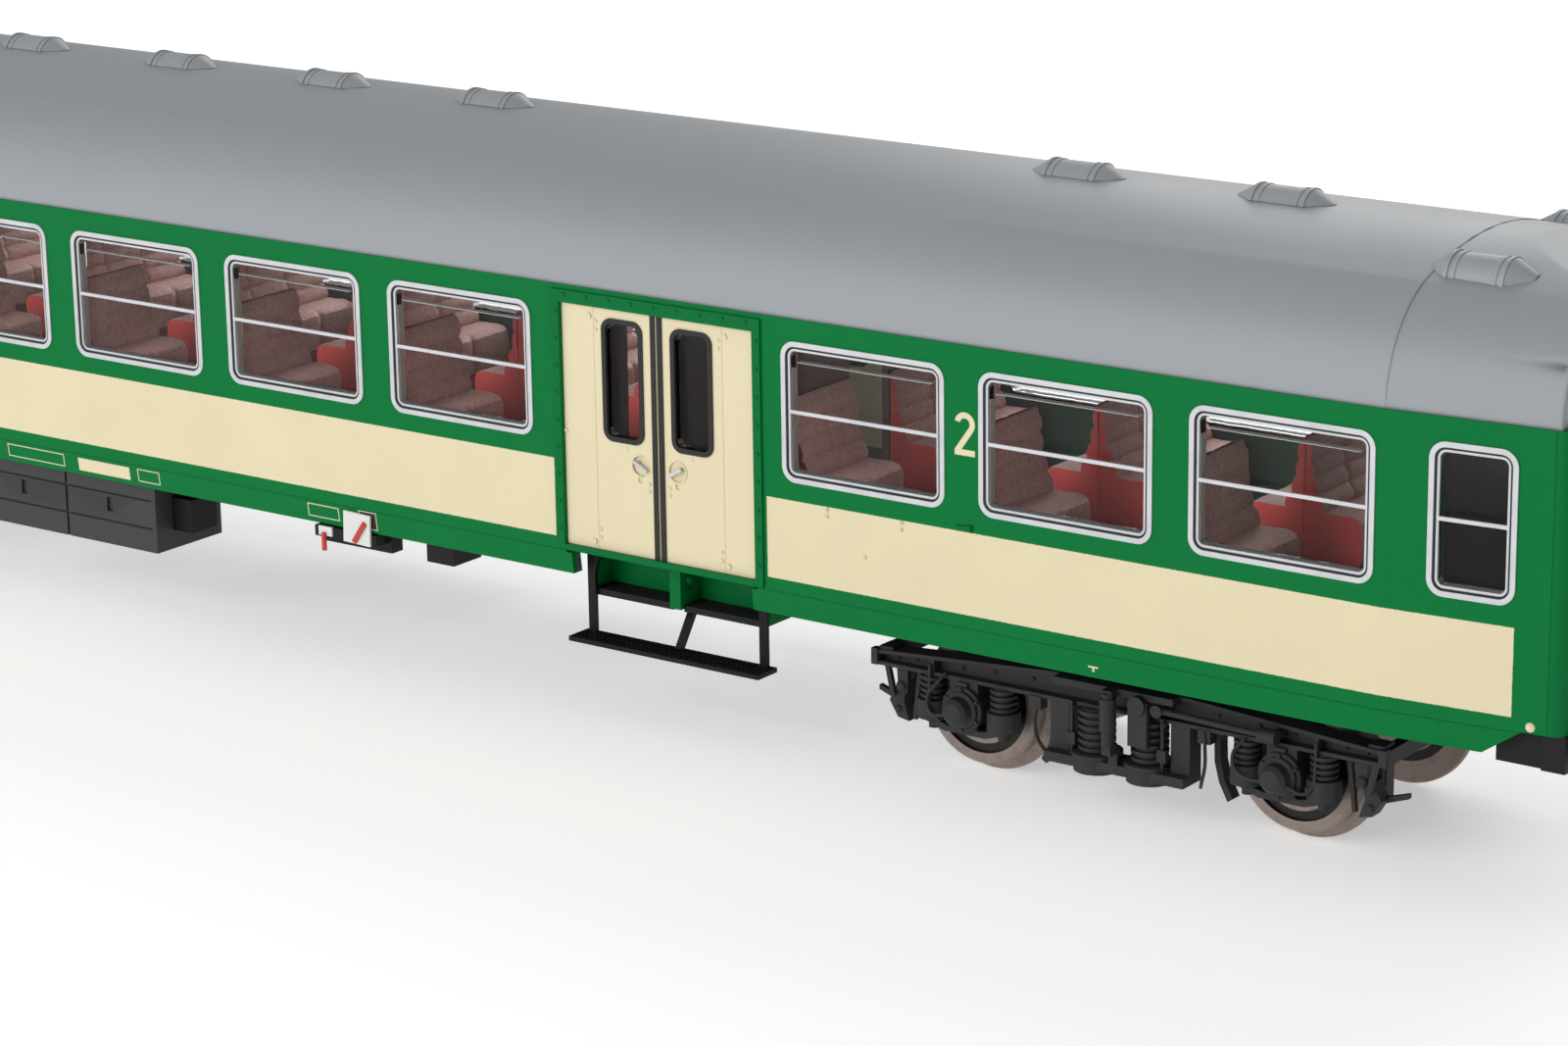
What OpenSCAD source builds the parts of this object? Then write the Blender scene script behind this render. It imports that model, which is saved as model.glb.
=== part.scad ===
// Model passenger coach on two swivelling bogies, a scale model for a 16.5 mm track.
// Millimetres, +Z up, X along the coach. Wheel flanges stand on z = 0 and
// every height below is measured from the rail head, one flange depth higher.

/* [Body] */
// length of the body over the end walls
body_l = 275.6; // [250:0.2:300]
// width of the body over the side walls
body_w = 33.1; // [30:0.1:36]
// thickness of the side walls
wall_t = 1.1; // [0.8:0.1:1.6]
// thickness of the end walls
end_t = 1.2; // [0.8:0.1:1.6]
// lower edge of the skirt
skirt_z = 11.6; // [10.5:0.1:12.4]
// crease line where the skirt leans inwards
crease_z = 13.6; // [13:0.1:13.7]
// how far the skirt leans inwards at its edge
skirt_lean = 0.25; // [0:0.05:0.4]
// top of the side walls, where the roof starts
eaves_z = 36.1; // [35.9:0.1:40]
// top of the roof
ridge_z = 46.5; // [44:0.1:50]
// radius of the roof's flat middle arc
roof_r = 30; // [26:0.5:40]
// thickness of the roof at the ridge
roof_t = 2.1; // [1.5:0.1:3]
// length of the tapered part at each end
taper_l = 14.2; // [13:0.1:14.5]
// how far each side comes in over the tapered part
taper_in = 1.05; // [0.6:0.05:1.4]
// radius of the upright body corners
corner_r = 0.9; // [0.5:0.1:1.1]

/* [Windows] */
// distance from window to window
pitch = 18.6; // [17:0.1:19]
// width over a large window frame
win_w = 15.45; // [13:0.05:16]
// height over a window frame
win_h = 11.45; // [9:0.05:11.6]
// middle height of the windows
win_z = 28.6; // [28:0.1:30]
// corner radius of the window frames
win_r = 1.3; // [0.9:0.1:2]
// width of the narrow window at the body ends
narrow_w = 6.8; // [5:0.1:8]
// distance from the end of the body to the middle of the narrow window
narrow_in = 7.25; // [6.6:0.05:7.8]
// width of the bright outer band
band = 0.42; // [0.3:0.02:0.6]
// width of the dark gasket line
gasket = 0.17; // [0.12:0.01:0.3]
// width of the thin inner frame
inner_band = 0.2; // [0.15:0.01:0.3]
// height of the cross bar
bar_h = 0.3; // [0.2:0.05:0.5]
// thickness of the window panes
pane_t = 1.1; // [0.5:0.1:1.4]

/* [Doors] */
// middle of each double door
door_x = 57.8; // [56:0.1:59]
// width of the door opening
door_w = 19.55; // [17:0.05:20]
// lower edge of the door leaves
door_z0 = 14.2; // [14:0.1:15]
// upper edge of the door opening
door_z1 = 34.65; // [32:0.05:35.4]
// width of the raised frame round the door
frame_w = 0.78; // [0.5:0.02:1]
// how far the raised frame stands out
frame_t = 0.2; // [0.1:0.05:0.4]
// thickness of a door leaf
leaf_t = 0.9; // [0.6:0.1:0.9]
// how far the leaves sit back
leaf_back = 0.2; // [0.1:0.05:0.25]
// width of the narrow folding panel of each leaf
fold_w = 3.3; // [2.5:0.1:4]
// width over the rubber frame of a door window
door_win_w = 4.17; // [3:0.01:4.6]
// height over the rubber frame of a door window
door_win_h = 10.25; // [8:0.05:11]
// middle height of the door windows
door_win_z = 28.7; // [28:0.1:29]
// distance of the door window from the middle of the door
door_win_x = 3.5; // [3:0.05:3.7]

/* [Interior] */
// top of the seat backs on the near side
seat_near_z = 29.1; // [26:0.1:31]
// top of the seat backs on the far side
seat_far_z = 28.4; // [26:0.1:31]
// height of the cushions
cushion_z = 22.6; // [20:0.1:24]
// reach of the cushions from the middle of a seat pair
cushion_l = 5.2; // [4:0.1:6]
// near edge of the aisle
aisle_near = 6; // [4:0.1:8]
// width of the aisle
aisle_w = 5.5; // [4:0.1:7]
// offset of the far seats along the coach
far_shift = 2.4; // [0:0.1:3]

/* [Bogies] */
// distance between the bogie pivots
pivot_span = 197.7; // [180:0.1:205]
// distance between the axles of a bogie
wheelbase = 28.74; // [26:0.02:30]
// radius of the wheel treads
wheel_r = 5.29; // [4.8:0.01:5.6]
// depth of the wheel flanges
flange_h = 0.9; // [0.6:0.05:1.2]
// distance between the backs of a pair of wheels
back_gap = 14.4; // [14:0.05:14.6]
// width of a wheel
wheel_w = 2.5; // [2.2:0.05:2.6]
// reach of the bogie side frames past the axle
frame_over = 8.83; // [8.13:0.01:9.6]
// outer face of the bogie side frames
frame_y = 12.1; // [12:0.05:12.5]
// underside of the bogie side beams
beam_z0 = 7.5; // [7.2:0.1:7.8]
// top of the side beams at their ends
beam_z1 = 8.7; // [8.4:0.1:9]
// top of the side beams in the middle
beam_z2 = 9.85; // [9.6:0.05:10]
// distance of the axle springs from their axle
spring_x = 3.3; // [3.1:0.1:3.6]
// radius of the axle springs
spring_r = 1.1; // [0.9:0.05:1.15]
// radius of the bolster springs
big_spring_r = 1.5; // [1.2:0.05:1.6]
// radial clearance of the turning fits
run_fit = 0.06; // [0.02:0.01:0.1]

/* [Couplers] */
// distance of the coupler pivot from the middle of the coach
coupler_x = 127.5; // [126.5:0.1:128]
// height of the middle of the coupler pocket
coupler_z = 8.5; // [8:0.1:9]
// reach of the buffers past the end of the body
buffer_out = 3; // [2.2:0.1:4.2]
// distance of the buffers from the middle line
buffer_y = 10.05; // [9:0.05:11]
// height of the buffers
buffer_z = 12.2; // [12:0.05:12.5]

/* [Hidden] */
$fn = 48;
hl = body_l / 2;
hb = body_w / 2;
narrow_x = hl - narrow_in;
taper_x = hl - taper_l;
taper_a = atan(taper_in / taper_l);
end_y = hb - taper_in;
corner_y = end_y + 0.06 - corner_r;
axle_x = wheelbase / 2;
frame_hl = axle_x + frame_over;
shoe_x = axle_x + wheel_r + 0.54;
pivot_x = pivot_span / 2;
roof_w = hb - 0.1;
roof_c = ridge_z - roof_r;
eaves_rise = eaves_z - roof_c;
shoulder_r = (roof_r * roof_r - roof_w * roof_w - eaves_rise * eaves_rise)
             / (2 * (roof_r - roof_w)) + 0.02;
shoulder_y = roof_w - shoulder_r;
mid_w = roof_r * shoulder_y / (roof_r - shoulder_r);
seam = 0.5;
seam_drop = 0.05;
end_first = (door_w + pitch) / 2 + 1.2;
pan_z0 = 13.7;
pan_z1 = 14.6;
pan_gap = 0.05;
deck_z0 = 15.6;
deck_z1 = 16.6;
well_hw = 9.25;
well_in = 11.3;
well_out = 14.2;
well_z = 9.65;
plate_t = 0.5;
step_z = 6.2;
box_top = skirt_z - 0.2;
beam_y0 = 10.3;
spring_y = 11.4;
web_y = frame_y - 0.9;
stub_r = 0.5;
axle_r = 0.75;
wheel_y0 = back_gap / 2;
wheel_y1 = wheel_y0 + wheel_w;
bolster_z0 = 7.6;
bolster_z1 = 11.5;
screw_r = 1.2;
pin_r = 0.7;
arm_t = 1.4;
loop_x = hl + 0.6;
lamp_y = 12.4;
lamp_z = 19;
wall_end = hl - end_t;
wins = concat([for (i = [-2 : 2]) i * pitch],
              [for (s = [-1, 1], i = [0 : 2]) s * (door_x + end_first + i * pitch)]);
vent_xs = [-door_x - end_first - 1.5 * pitch, -door_x - end_first - 0.5 * pitch,
           -1.5 * pitch, -0.5 * pitch, 0.5 * pitch, 1.5 * pitch,
           door_x + end_first + 0.5 * pitch, door_x + end_first + 1.5 * pitch];

// ---- helpers -------------------------------------------------------------

module on_rail() { translate([0, 0, flange_h]) children(); }

module both_ends() {
    children();
    mirror([1, 0, 0]) children();
}

module both_sides() {
    children();
    mirror([0, 1, 0]) children();
}

module half_turn() {
    children();
    rotate([0, 0, 180]) children();
}

module block(x0, x1, y0, y1, z0, z1) {
    translate([x0, y0, z0]) cube([x1 - x0, y1 - y0, z1 - z0]);
}

module bar_x(r, x0, x1) { translate([x0, 0, 0]) rotate([0, 90, 0]) cylinder(r = r, h = x1 - x0); }

module bar_y(r, y0, y1) { translate([0, y1, 0]) rotate([90, 0, 0]) cylinder(r = r, h = y1 - y0); }

// runs an upright profile drawn in y and z along the coach
module run_x(x0, x1) {
    translate([x0, 0, 0]) rotate([90, 0, 90]) linear_extrude(x1 - x0) children();
}

// gives a profile drawn in x and z a thickness across the coach
module run_y(y0, y1) {
    translate([0, y1, 0]) rotate([90, 0, 0]) linear_extrude(y1 - y0) children();
}

// turns whatever follows the straight side onto the tapered body end
module tapered() {
    translate([taper_x, hb, 0]) rotate([0, 0, -taper_a]) translate([-taper_x, -hb, 0]) children();
}

module round_rect(w, h, r) {
    square([w - 2 * r, h], center = true);
    square([w, h - 2 * r], center = true);
    for (x = [-1, 1], z = [-1, 1])
        translate([x * (w / 2 - r), z * (h / 2 - r)]) circle(r = r);
}

module ring(w, h, r, b, y0, y1) {
    difference() {
        run_y(y0, y1) round_rect(w, h, r);
        run_y(y0 - 1, y1 + 1) round_rect(w - 2 * b, h - 2 * b, max(r - b, 0.2));
    }
}

// puts a window piece at every large window and, narrower, at the body ends
module at_windows() {
    for (x = wins) translate([x, 0, win_z]) children(0);
    both_ends() tapered() translate([narrow_x, 0, win_z]) children(1);
}

// ---- body ----------------------------------------------------------------

module wall_profile() {
    polygon([[hb - wall_t, eaves_z], [hb, eaves_z], [hb, crease_z],
             [hb - skirt_lean, skirt_z], [hb - wall_t - skirt_lean, skirt_z],
             [hb - wall_t, crease_z]]);
}

module wall_opening(w) {
    run_y(hb - 3, hb + 1) round_rect(w - 2 * band, win_h - 2 * band, win_r - band);
}

module side_wall() {
    difference() {
        union() {
            run_x(-taper_x, taper_x) wall_profile();
            both_ends() intersection() {
                tapered() run_x(taper_x - 0.5, hl + 1) wall_profile();
                block(taper_x - 0.5, wall_end, 0, hb, 0, ridge_z);
            }
        }
        at_windows() {
            wall_opening(win_w);
            wall_opening(narrow_w);
        }
        both_ends() {
            block(door_x - door_w / 2, door_x + door_w / 2, 0, body_w, door_z0 - frame_w, door_z1);
            block(door_x - well_hw, door_x + well_hw, 0, body_w, 0, door_z0);
            run_y(0, body_w) polygon([[hl - 6.2, skirt_z - 1], [hl - 6.2, skirt_z],
                                      [hl - 3.1, crease_z + 0.1], [hl + 1, crease_z + 0.1],
                                      [hl + 1, skirt_z - 1]]);
        }
    }
}

module side_left() { color("#128246") on_rail() side_wall(); }

module side_right() { color("#128246") on_rail() mirror([0, 1, 0]) side_wall(); }

module end_walls() {
    color("#128246") on_rail() both_ends() difference() {
        union() {
            block(wall_end, hl - corner_r, -corner_y - corner_r, corner_y + corner_r,
                  pan_z0, eaves_z);
            block(wall_end, hl, -corner_y, corner_y, pan_z0, eaves_z);
            both_sides() translate([hl - corner_r, corner_y, pan_z0])
                cylinder(r = corner_r, h = eaves_z - pan_z0);
        }
        block(0, wall_end, -body_w, body_w, 0, ridge_z);
        for (y = [-1, 1]) translate([0, y * 9.4, 0])
            run_x(hl - 0.15, hl + 1) translate([0, win_z]) round_rect(0.5, 12, 0.2);
    }
}

// a shallow middle arc meeting a rounder shoulder on each side
module roof_outline() {
    intersection() {
        translate([0, roof_c]) circle(r = roof_r, $fn = 128);
        union() {
            translate([-mid_w, eaves_z - 1]) square([2 * mid_w, ridge_z]);
            for (s = [-1, 1]) intersection() {
                translate([s * shoulder_y, eaves_z]) circle(r = shoulder_r);
                translate([-body_w, eaves_z - 1]) square([2 * body_w, shoulder_r + 2]);
            }
        }
        translate([-body_w, eaves_z]) square([2 * body_w, ridge_z]);
    }
}

module roof_end() {
    intersection() {
        translate([-seam, 0, -seam_drop]) tapered() run_x(taper_x - 1, hl + 2) roof_outline();
        mirror([0, 1, 0]) translate([-seam, 0, -seam_drop]) tapered()
            run_x(taper_x - 1, hl + 2) roof_outline();
        block(taper_x, hl, -body_w, body_w, eaves_z, ridge_z + 1);
    }
}

module roof_shape() {
    run_x(-taper_x, taper_x) roof_outline();
    both_ends() roof_end();
}

module roof() {
    color("#a2a8ad") on_rail() difference() {
        roof_shape();
        run_x(-wall_end, wall_end) intersection() {
            translate([0, roof_c]) circle(r = roof_r - roof_t, $fn = 128);
            translate([-roof_w + roof_t, 0]) square([2 * (roof_w - roof_t), ridge_z]);
        }
        both_ends() translate([hl - 10.5, 0, ridge_z]) rotate([0, 11, 0])
            block(0, 14, -body_w, body_w, 0, 6);
    }
}

module vent() {
    bar_x(1.9, -2.45, 2.45);
    both_ends() {
        translate([2.45, 0, 0]) rotate([0, 90, 0]) cylinder(r1 = 1.9, r2 = 0.9, h = 1.8);
        bar_x(1.96, 1.5, 1.8);
        bar_x(2, 2.1, 2.4);
    }
}

module roof_vents() {
    color("#9ea4a9") on_rail() {
        difference() {
            for (x = vent_xs) translate([x, 0, ridge_z - 0.9]) vent();
            translate([0, 0, roof_c]) rotate([0, 90, 0])
                cylinder(r = roof_r + 0.01, h = body_l, center = true, $fn = 128);
        }
        both_ends() difference() {
            both_sides() translate([narrow_x - 3.55, 8.3, ridge_z - 2.2]) rotate([-16, 0, 0]) vent();
            roof_end();
            translate([0, 0, roof_c]) bar_x(roof_r, 0, taper_x);
        }
    }
}

// ---- windows -------------------------------------------------------------

module window_frames() {
    color("#d4d6d9") on_rail() both_sides() at_windows() {
        ring(win_w, win_h, win_r, band, hb, hb + 0.12);
        ring(narrow_w, win_h, win_r, band, hb, hb + 0.12);
    }
}

module window_gaskets() {
    color("#18181a") on_rail() both_sides() at_windows() {
        ring(win_w - 2 * band, win_h - 2 * band, win_r - band, gasket, hb - wall_t, hb + 0.04);
        ring(narrow_w - 2 * band, win_h - 2 * band, win_r - band, gasket, hb - wall_t, hb + 0.04);
    }
}

module inner_frame(w) {
    edge = band + gasket;
    ring(w - 2 * edge, win_h - 2 * edge, win_r - edge, inner_band, hb - wall_t, hb - 0.02);
    block(-w / 2 + edge, w / 2 - edge, hb - 0.2, hb - 0.02, -bar_h / 2, bar_h / 2);
}

module window_inner_frames() {
    color("#c6c9cd") on_rail() both_sides() at_windows() {
        inner_frame(win_w);
        inner_frame(narrow_w);
    }
}

module pane(w) {
    edge = band + gasket + inner_band;
    run_y(hb - 0.2 - pane_t, hb - 0.2)
        round_rect(w - 2 * edge, win_h - 2 * edge, max(win_r - edge, 0.3));
}

module door_pane() {
    run_y(hb - leaf_back - leaf_t, hb - leaf_back - 0.15)
        round_rect(door_win_w - 0.84, door_win_h - 0.84, 0.6);
}

module at_door_windows() {
    both_ends() for (s = [-1, 1])
        translate([door_x + s * door_win_x, 0, door_win_z]) children();
}

module glazing() {
    color("#dfe8ea", 0.35) on_rail() both_sides() {
        at_windows() {
            pane(win_w);
            pane(narrow_w);
        }
        at_door_windows() door_pane();
    }
}

// ---- doors ---------------------------------------------------------------

module door_frame() {
    out_hw = door_w / 2 + frame_w;
    z0 = door_z0 - 0.5;
    z1 = door_z1 + 1.05;
    difference() {
        union() {
            block(-out_hw, out_hw, hb, hb + frame_t, z0, z1);
            for (s = [-1, 1], i = [0 : 8])
                translate([s * (out_hw - frame_w / 2), 0, z0 + 1.8 + 2.3 * i])
                    bar_y(0.17, hb, hb + frame_t + 0.08);
            for (i = [-4 : 4])
                translate([2.3 * i, 0, z1 - frame_w / 2]) bar_y(0.17, hb, hb + frame_t + 0.08);
        }
        block(-door_w / 2, door_w / 2, 0, body_w, door_z0, door_z1);
    }
    block(-well_hw, well_hw, hb - wall_t, hb, z0, door_z0);
}

module door_frames() {
    color("#128246") on_rail() both_sides() both_ends() translate([door_x, 0, 0]) door_frame();
}

module door_leaf() {
    y1 = hb - leaf_back;
    y0 = y1 - leaf_t;
    difference() {
        block(0.03, door_w / 2 - fold_w, y0, y1, door_z0, door_z1 - 0.05);
        translate([door_win_x, 0, door_win_z]) run_y(0, body_w)
            round_rect(door_win_w, door_win_h, 1);
        translate([1.9, 0, 21.9]) bar_y(0.9, y1 - 0.15, y1 + 1);
        translate([1.9, 0, 20.7]) bar_y(0.28, y1 - 0.12, y1 + 1);
    }
    block(door_w / 2 - fold_w + 0.03, door_w / 2 - 0.05, y0, y1, door_z0, door_z1 - 0.05);
    for (z = [door_z0 + 0.6, door_z1 - 0.9])
        translate([door_w / 2 - fold_w + 0.4, 0, z]) bar_y(0.24, y1, y1 + 0.12);
}

module door_leaves() {
    color("#e6dab8") on_rail() both_sides() both_ends() translate([door_x, 0, 0])
        both_ends() door_leaf();
}

module door_rubbers() {
    y1 = hb - leaf_back;
    color("#1a1a1c") on_rail() both_sides() {
        both_ends() translate([door_x, 0, 0]) both_ends()
            block(0.12, 0.58, y1, y1 + 0.12, door_z0, door_z1 - 0.1);
        at_door_windows() ring(door_win_w, door_win_h, 1, 0.42, y1 - leaf_t, y1 + 0.14);
    }
}

module door_handles() {
    y1 = hb - leaf_back;
    color("#cfd1d4") on_rail() both_sides() both_ends() translate([door_x, 0, 0]) both_ends()
        translate([1.75, 0, 21.9]) rotate([0, -28, 0]) {
            block(-0.75, 0.75, y1 + 0.1, y1 + 0.35, -0.15, 0.15);
            translate([0.45, 0, 0]) bar_y(0.2, y1 - 0.15, y1 + 0.1);
        }
}

// ---- steps ---------------------------------------------------------------

module step_well() {
    difference() {
        union() {
            block(-well_hw, well_hw, well_in, hb - wall_t, pan_z0 - plate_t, pan_z0);
            block(-well_hw, well_hw, well_in, well_in + plate_t, well_z, pan_z0);
            both_ends() block(well_hw - plate_t, well_hw, well_in, well_out, well_z, pan_z0);
            block(-0.55, 0.55, well_in, 14.65, well_z, pan_z0);
        }
        both_ends() translate([0.55, 13.4, 11.6]) rotate([0, 90, 0])
            cylinder(r = 0.5, h = 0.3, center = true);
    }
}

module step_wells() {
    color("#107a41") on_rail() both_sides() both_ends() translate([door_x, 0, 0]) step_well();
}

module inner_step() {
    difference() {
        block(0.55, well_hw - plate_t, well_in + plate_t, well_out, 9.4, 9.95);
        for (i = [0 : 4]) block(0, well_hw, 12 + 0.45 * i, 12.2 + 0.45 * i, 9.8, 10);
    }
}

module inner_steps() {
    color("#232326") on_rail() both_sides() both_ends() translate([door_x, 0, 0])
        both_ends() inner_step();
}

module lower_step() {
    half = door_w / 2;
    difference() {
        block(-half, half, 14, hb + 0.05, step_z - 0.4, step_z);
        for (i = [-9 : 9], j = [0 : 1])
            translate([0.98 * i + 0.49 * j, 14.85 + 0.8 * j, step_z - 1])
                cylinder(r = 0.34, h = 2, $fn = 4);
    }
    both_ends() {
        block(half - 1.35, half - 0.55, 14.25, 14.55, step_z - 0.05, pan_z0 - plate_t);
        run_at = half - 0.95;
        translate([run_at, 0, 0]) run_y(14.25, 14.55)
            polygon([[-1, pan_z0 - plate_t], [0.4, pan_z0 - plate_t], [0, 11.4], [-0.4, 11.4]]);
    }
    translate([-0.3, 0, 0]) run_x(0, 0.6)
        polygon([[14.5, step_z - 0.05], [13.9, step_z - 0.05], [11.5, well_z], [12.2, well_z]]);
}

module lower_steps() {
    color("#202023") on_rail() both_sides() both_ends() translate([door_x, 0, 0]) lower_step();
}

// ---- underframe ----------------------------------------------------------

module plan(d) {
    polygon([[-taper_x, -hb + d], [taper_x, -hb + d], [wall_end, -end_y - 0.1 + d],
             [wall_end, end_y + 0.1 - d], [taper_x, hb - d], [-taper_x, hb - d],
             [-wall_end, end_y + 0.1 - d], [-wall_end, -end_y - 0.1 + d]]);
}

module pivot_holes() {
    both_ends() {
        translate([pivot_x, 0, 0]) cylinder(r = screw_r, h = 20);
        translate([coupler_x, 0, 0]) cylinder(r = pin_r, h = 20);
    }
}

module floor_pan() {
    color("#1c1c1f") on_rail() difference() {
        translate([0, 0, pan_z0]) linear_extrude(pan_z1 - pan_z0) plan(wall_t + pan_gap);
        pivot_holes();
    }
}

module pivot_bosses() {
    boss_z = bolster_z1 + pan_gap;
    arm_top = coupler_z + arm_t / 2 + pan_gap;
    color("#1c1c1f") on_rail() difference() {
        both_ends() {
            translate([pivot_x, 0, boss_z]) cylinder(r = 4, h = pan_z0 - boss_z);
            translate([coupler_x, 0, arm_top]) cylinder(r = 2, h = pan_z0 - arm_top);
            block(114, coupler_x, -1.2, 1.2, 12.6, pan_z0);
        }
        pivot_holes();
    }
}

module floor_beams() {
    color("#222225") on_rail() difference() {
        union() {
            both_sides() block(-76, 76, 4.5, 5.5, 12.2, pan_z0);
            both_ends() for (i = [0 : 4])
                block(13.2 + 15 * i, 14 + 15 * i, -10.8, 10.8, 12.6, pan_z0);
        }
        half_turn() air_tank_space();
    }
}

module air_tank_space() {
    for (x = [2.7, 10.15]) translate([x, 0, 11.4]) bar_y(2.35, -9.1, 5.1);
}

module ballast_plate() {
    color("#8d9094") on_rail() difference() {
        block(-118, 118, -11.5, 11.5, pan_z1, deck_z0);
        both_ends() translate([pivot_x, 0, 0]) cylinder(r = 4.5, h = 20);
    }
}

module interior_floor() {
    color("#2f4a3c") on_rail() translate([0, 0, deck_z0]) linear_extrude(deck_z1 - deck_z0)
        plan(wall_t + pan_gap);
}

module partition_wall(x) {
    difference() {
        block(x, x + 0.7, -hb + wall_t + 0.4, hb - wall_t - 0.4, deck_z1, eaves_z - 0.1);
        block(x - 1, x + 2, -aisle_near, aisle_w - aisle_near, deck_z1 + 0.6, 34);
    }
}

module partitions() {
    color("#39393c") on_rail() both_ends() {
        partition_wall(door_x + door_w / 2 + 1.3);
        partition_wall(door_x - door_w / 2 - 2);
        block(taper_x + 0.6, taper_x + 1.2, -end_y + wall_t + 0.8, end_y - wall_t - 0.8,
              deck_z1, eaves_z - 0.1);
    }
}

module seat_profile(top) {
    low = cushion_z;
    polygon([[-2.1, low - 1], [-1.6, low + 1.2], [-0.95, top - 4.6], [-0.62, top - 1.6],
             [-0.45, top - 0.3], [-0.2, top], [0.2, top], [0.45, top - 0.3],
             [0.62, top - 1.6], [0.95, top - 4.6], [1.6, low + 1.2], [2.1, low - 1]]);
}

module seat_pair(y0, y1, top) {
    run_y(y0, y1) seat_profile(top);
    block(-cushion_l, cushion_l, y0, y1, deck_z1 + 2.2, cushion_z);
    block(-cushion_l + 1, cushion_l - 1, y0, y1, deck_z1, deck_z1 + 2.2);
}

module half_seat(y0, y1, top) {
    intersection() {
        seat_pair(y0, y1, top);
        block(0, 10, -body_w, body_w, 0, ridge_z);
    }
}

module seat_bank(y0, y1, top, shift) {
    for (i = [-1.5 : 1.5]) translate([i * pitch + shift, 0, 0]) seat_pair(y0, y1, top);
    for (s = [-1, 1], i = [0.5 : 1.5])
        translate([s * (door_x + end_first + i * pitch) + shift, 0, 0]) seat_pair(y0, y1, top);
    translate([-2.5 * pitch + 1.9, 0, 0]) half_seat(y0, y1, top);
    mirror([1, 0, 0]) translate([-2.5 * pitch + 1.9, 0, 0]) half_seat(y0, y1, top);
    both_ends() translate([door_x + door_w / 2 + 2.1, 0, 0]) half_seat(y0, y1, top);
}

module seats_near() {
    color("#7c2b2e") on_rail()
        seat_bank(-hb + wall_t + 1.2, -aisle_near, seat_near_z, 0);
}

module seats_far() {
    color("#7c2b2e") on_rail()
        seat_bank(aisle_w - aisle_near, hb - wall_t - 1.2, seat_far_z, far_shift);
}

// ---- body ends -----------------------------------------------------------

module headstocks() {
    color("#1b1b1e") on_rail() both_ends() {
        block(wall_end - 4.6, hl + 0.1, -end_y + 1.3, end_y - 1.3, 10.7, pan_z0);
        both_sides() block(hl - 1.8, hl + 0.1, end_y - 1.3, end_y - 0.4, 10.9, pan_z0);
    }
}

module buffer_housings() {
    color("#1d1d20") on_rail() both_ends() both_sides() translate([0, buffer_y, buffer_z]) {
        bar_x(1.35, hl + 0.1, hl + 1.5);
        bar_x(1.6, hl + 0.1, hl + 0.5);
    }
}

module buffer_heads() {
    face = hl + buffer_out;
    color("#2a2a2d") on_rail() both_ends() both_sides() translate([0, buffer_y, buffer_z]) {
        bar_x(0.8, hl + 1.5, face - 0.6);
        bar_x(2.8, face - 0.6, face - 0.25);
        translate([face - 0.25, 0, 0]) rotate([0, 90, 0]) cylinder(r1 = 2.8, r2 = 1.2, h = 0.25);
    }
}

module gangway_rubbers() {
    color("#141416") on_rail() both_ends() {
        both_sides() translate([hl + 1.25, 5.1, pan_z1]) cylinder(r = 1.25, h = 23.4);
        translate([hl + 1.25, 0, 39.3]) bar_y(1.25, -5.1, 5.1);
    }
}

module gangway_doors() {
    color("#b9bcbf") on_rail() both_ends() difference() {
        block(hl, hl + 0.4, -3.6, 3.6, pan_z1 + 0.4, eaves_z - 0.6);
        both_sides() run_x(hl + 0.15, hl + 1) translate([1.75, 29]) round_rect(2.3, 8, 0.5);
        block(hl + 0.2, hl + 1, -0.06, 0.06, pan_z1, eaves_z);
    }
}

module tail_lamps() {
    color("#a3161a") on_rail() both_ends() both_sides() translate([0, lamp_y, lamp_z]) {
        bar_x(1.15, hl, hl + 0.35);
        bar_x(0.85, hl + 0.35, hl + 0.6);
    }
}

// ---- equipment below the floor -------------------------------------------

module battery_box() {
    difference() {
        block(-22.5, -0.2, -15.5, -7.2, 5.3, box_top);
        for (z = [7.4, 10]) block(-22, -0.7, -16, -15.3, z, z + 0.2);
        for (x = [-16.8, -5.9]) block(x - 0.35, x + 0.35, -16, -15.25, 8.4, 9.7);
        block(-11.5, -11.2, -16, -15.3, 5, 13);
    }
    for (x = [-21, -3]) block(x, x + 1.2, -14.6, -8, box_top, pan_z0);
}

module battery_boxes() {
    color("#3c3c3f") on_rail() half_turn() battery_box();
}

module equipment_boxes() {
    color("#242427") on_rail() half_turn() {
        block(-0.2, 2.2, -13.4, -10.2, 7.05, 10.1);
        block(0.4, 1.6, -12.4, -11.2, 10.1, pan_z0);
        difference() {
            block(-44, -28.5, -hb + 1.45, -8, 6.6, 12.6);
            for (i = [0 : 5]) block(-43 + 2.4 * i, -42 + 2.4 * i, -hb, -hb + 1.55, 8, 11.8);
        }
    }
}

module air_tanks() {
    color("#2b2b2e") on_rail() half_turn() for (x = [2.7, 10.15]) translate([x, 0, 11.4]) {
        bar_y(2.3, -8.4, 4.4);
        bar_y(1.7, -9, 5);
        translate([0, -2, -2.6]) cylinder(r = 0.35, h = 0.6);
    }
}

module brake_panels() {
    color("#1e1e21") on_rail() half_turn() {
        block(19.6, 27.4, -15, -13.6, 9.6, pan_z0);
        block(22, 26.4, -13.6, -11.2, 10.4, pan_z0);
        block(20, 27, -hb, -15, 10.5, skirt_z - 0.15);
        block(31, 34, -14.6, -11, 9.4, pan_z0);
    }
}

module brake_plates() {
    color("#dfe0dc") on_rail() half_turn() {
        translate([25, -hb, 11.9]) rotate([0, 2, 0]) block(-1.5, 1.5, -0.2, 0, -1.4, 1.35);
        block(20.6, 22.1, -hb - 0.2, -hb, 10.7, skirt_z - 0.1);
    }
}

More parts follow.
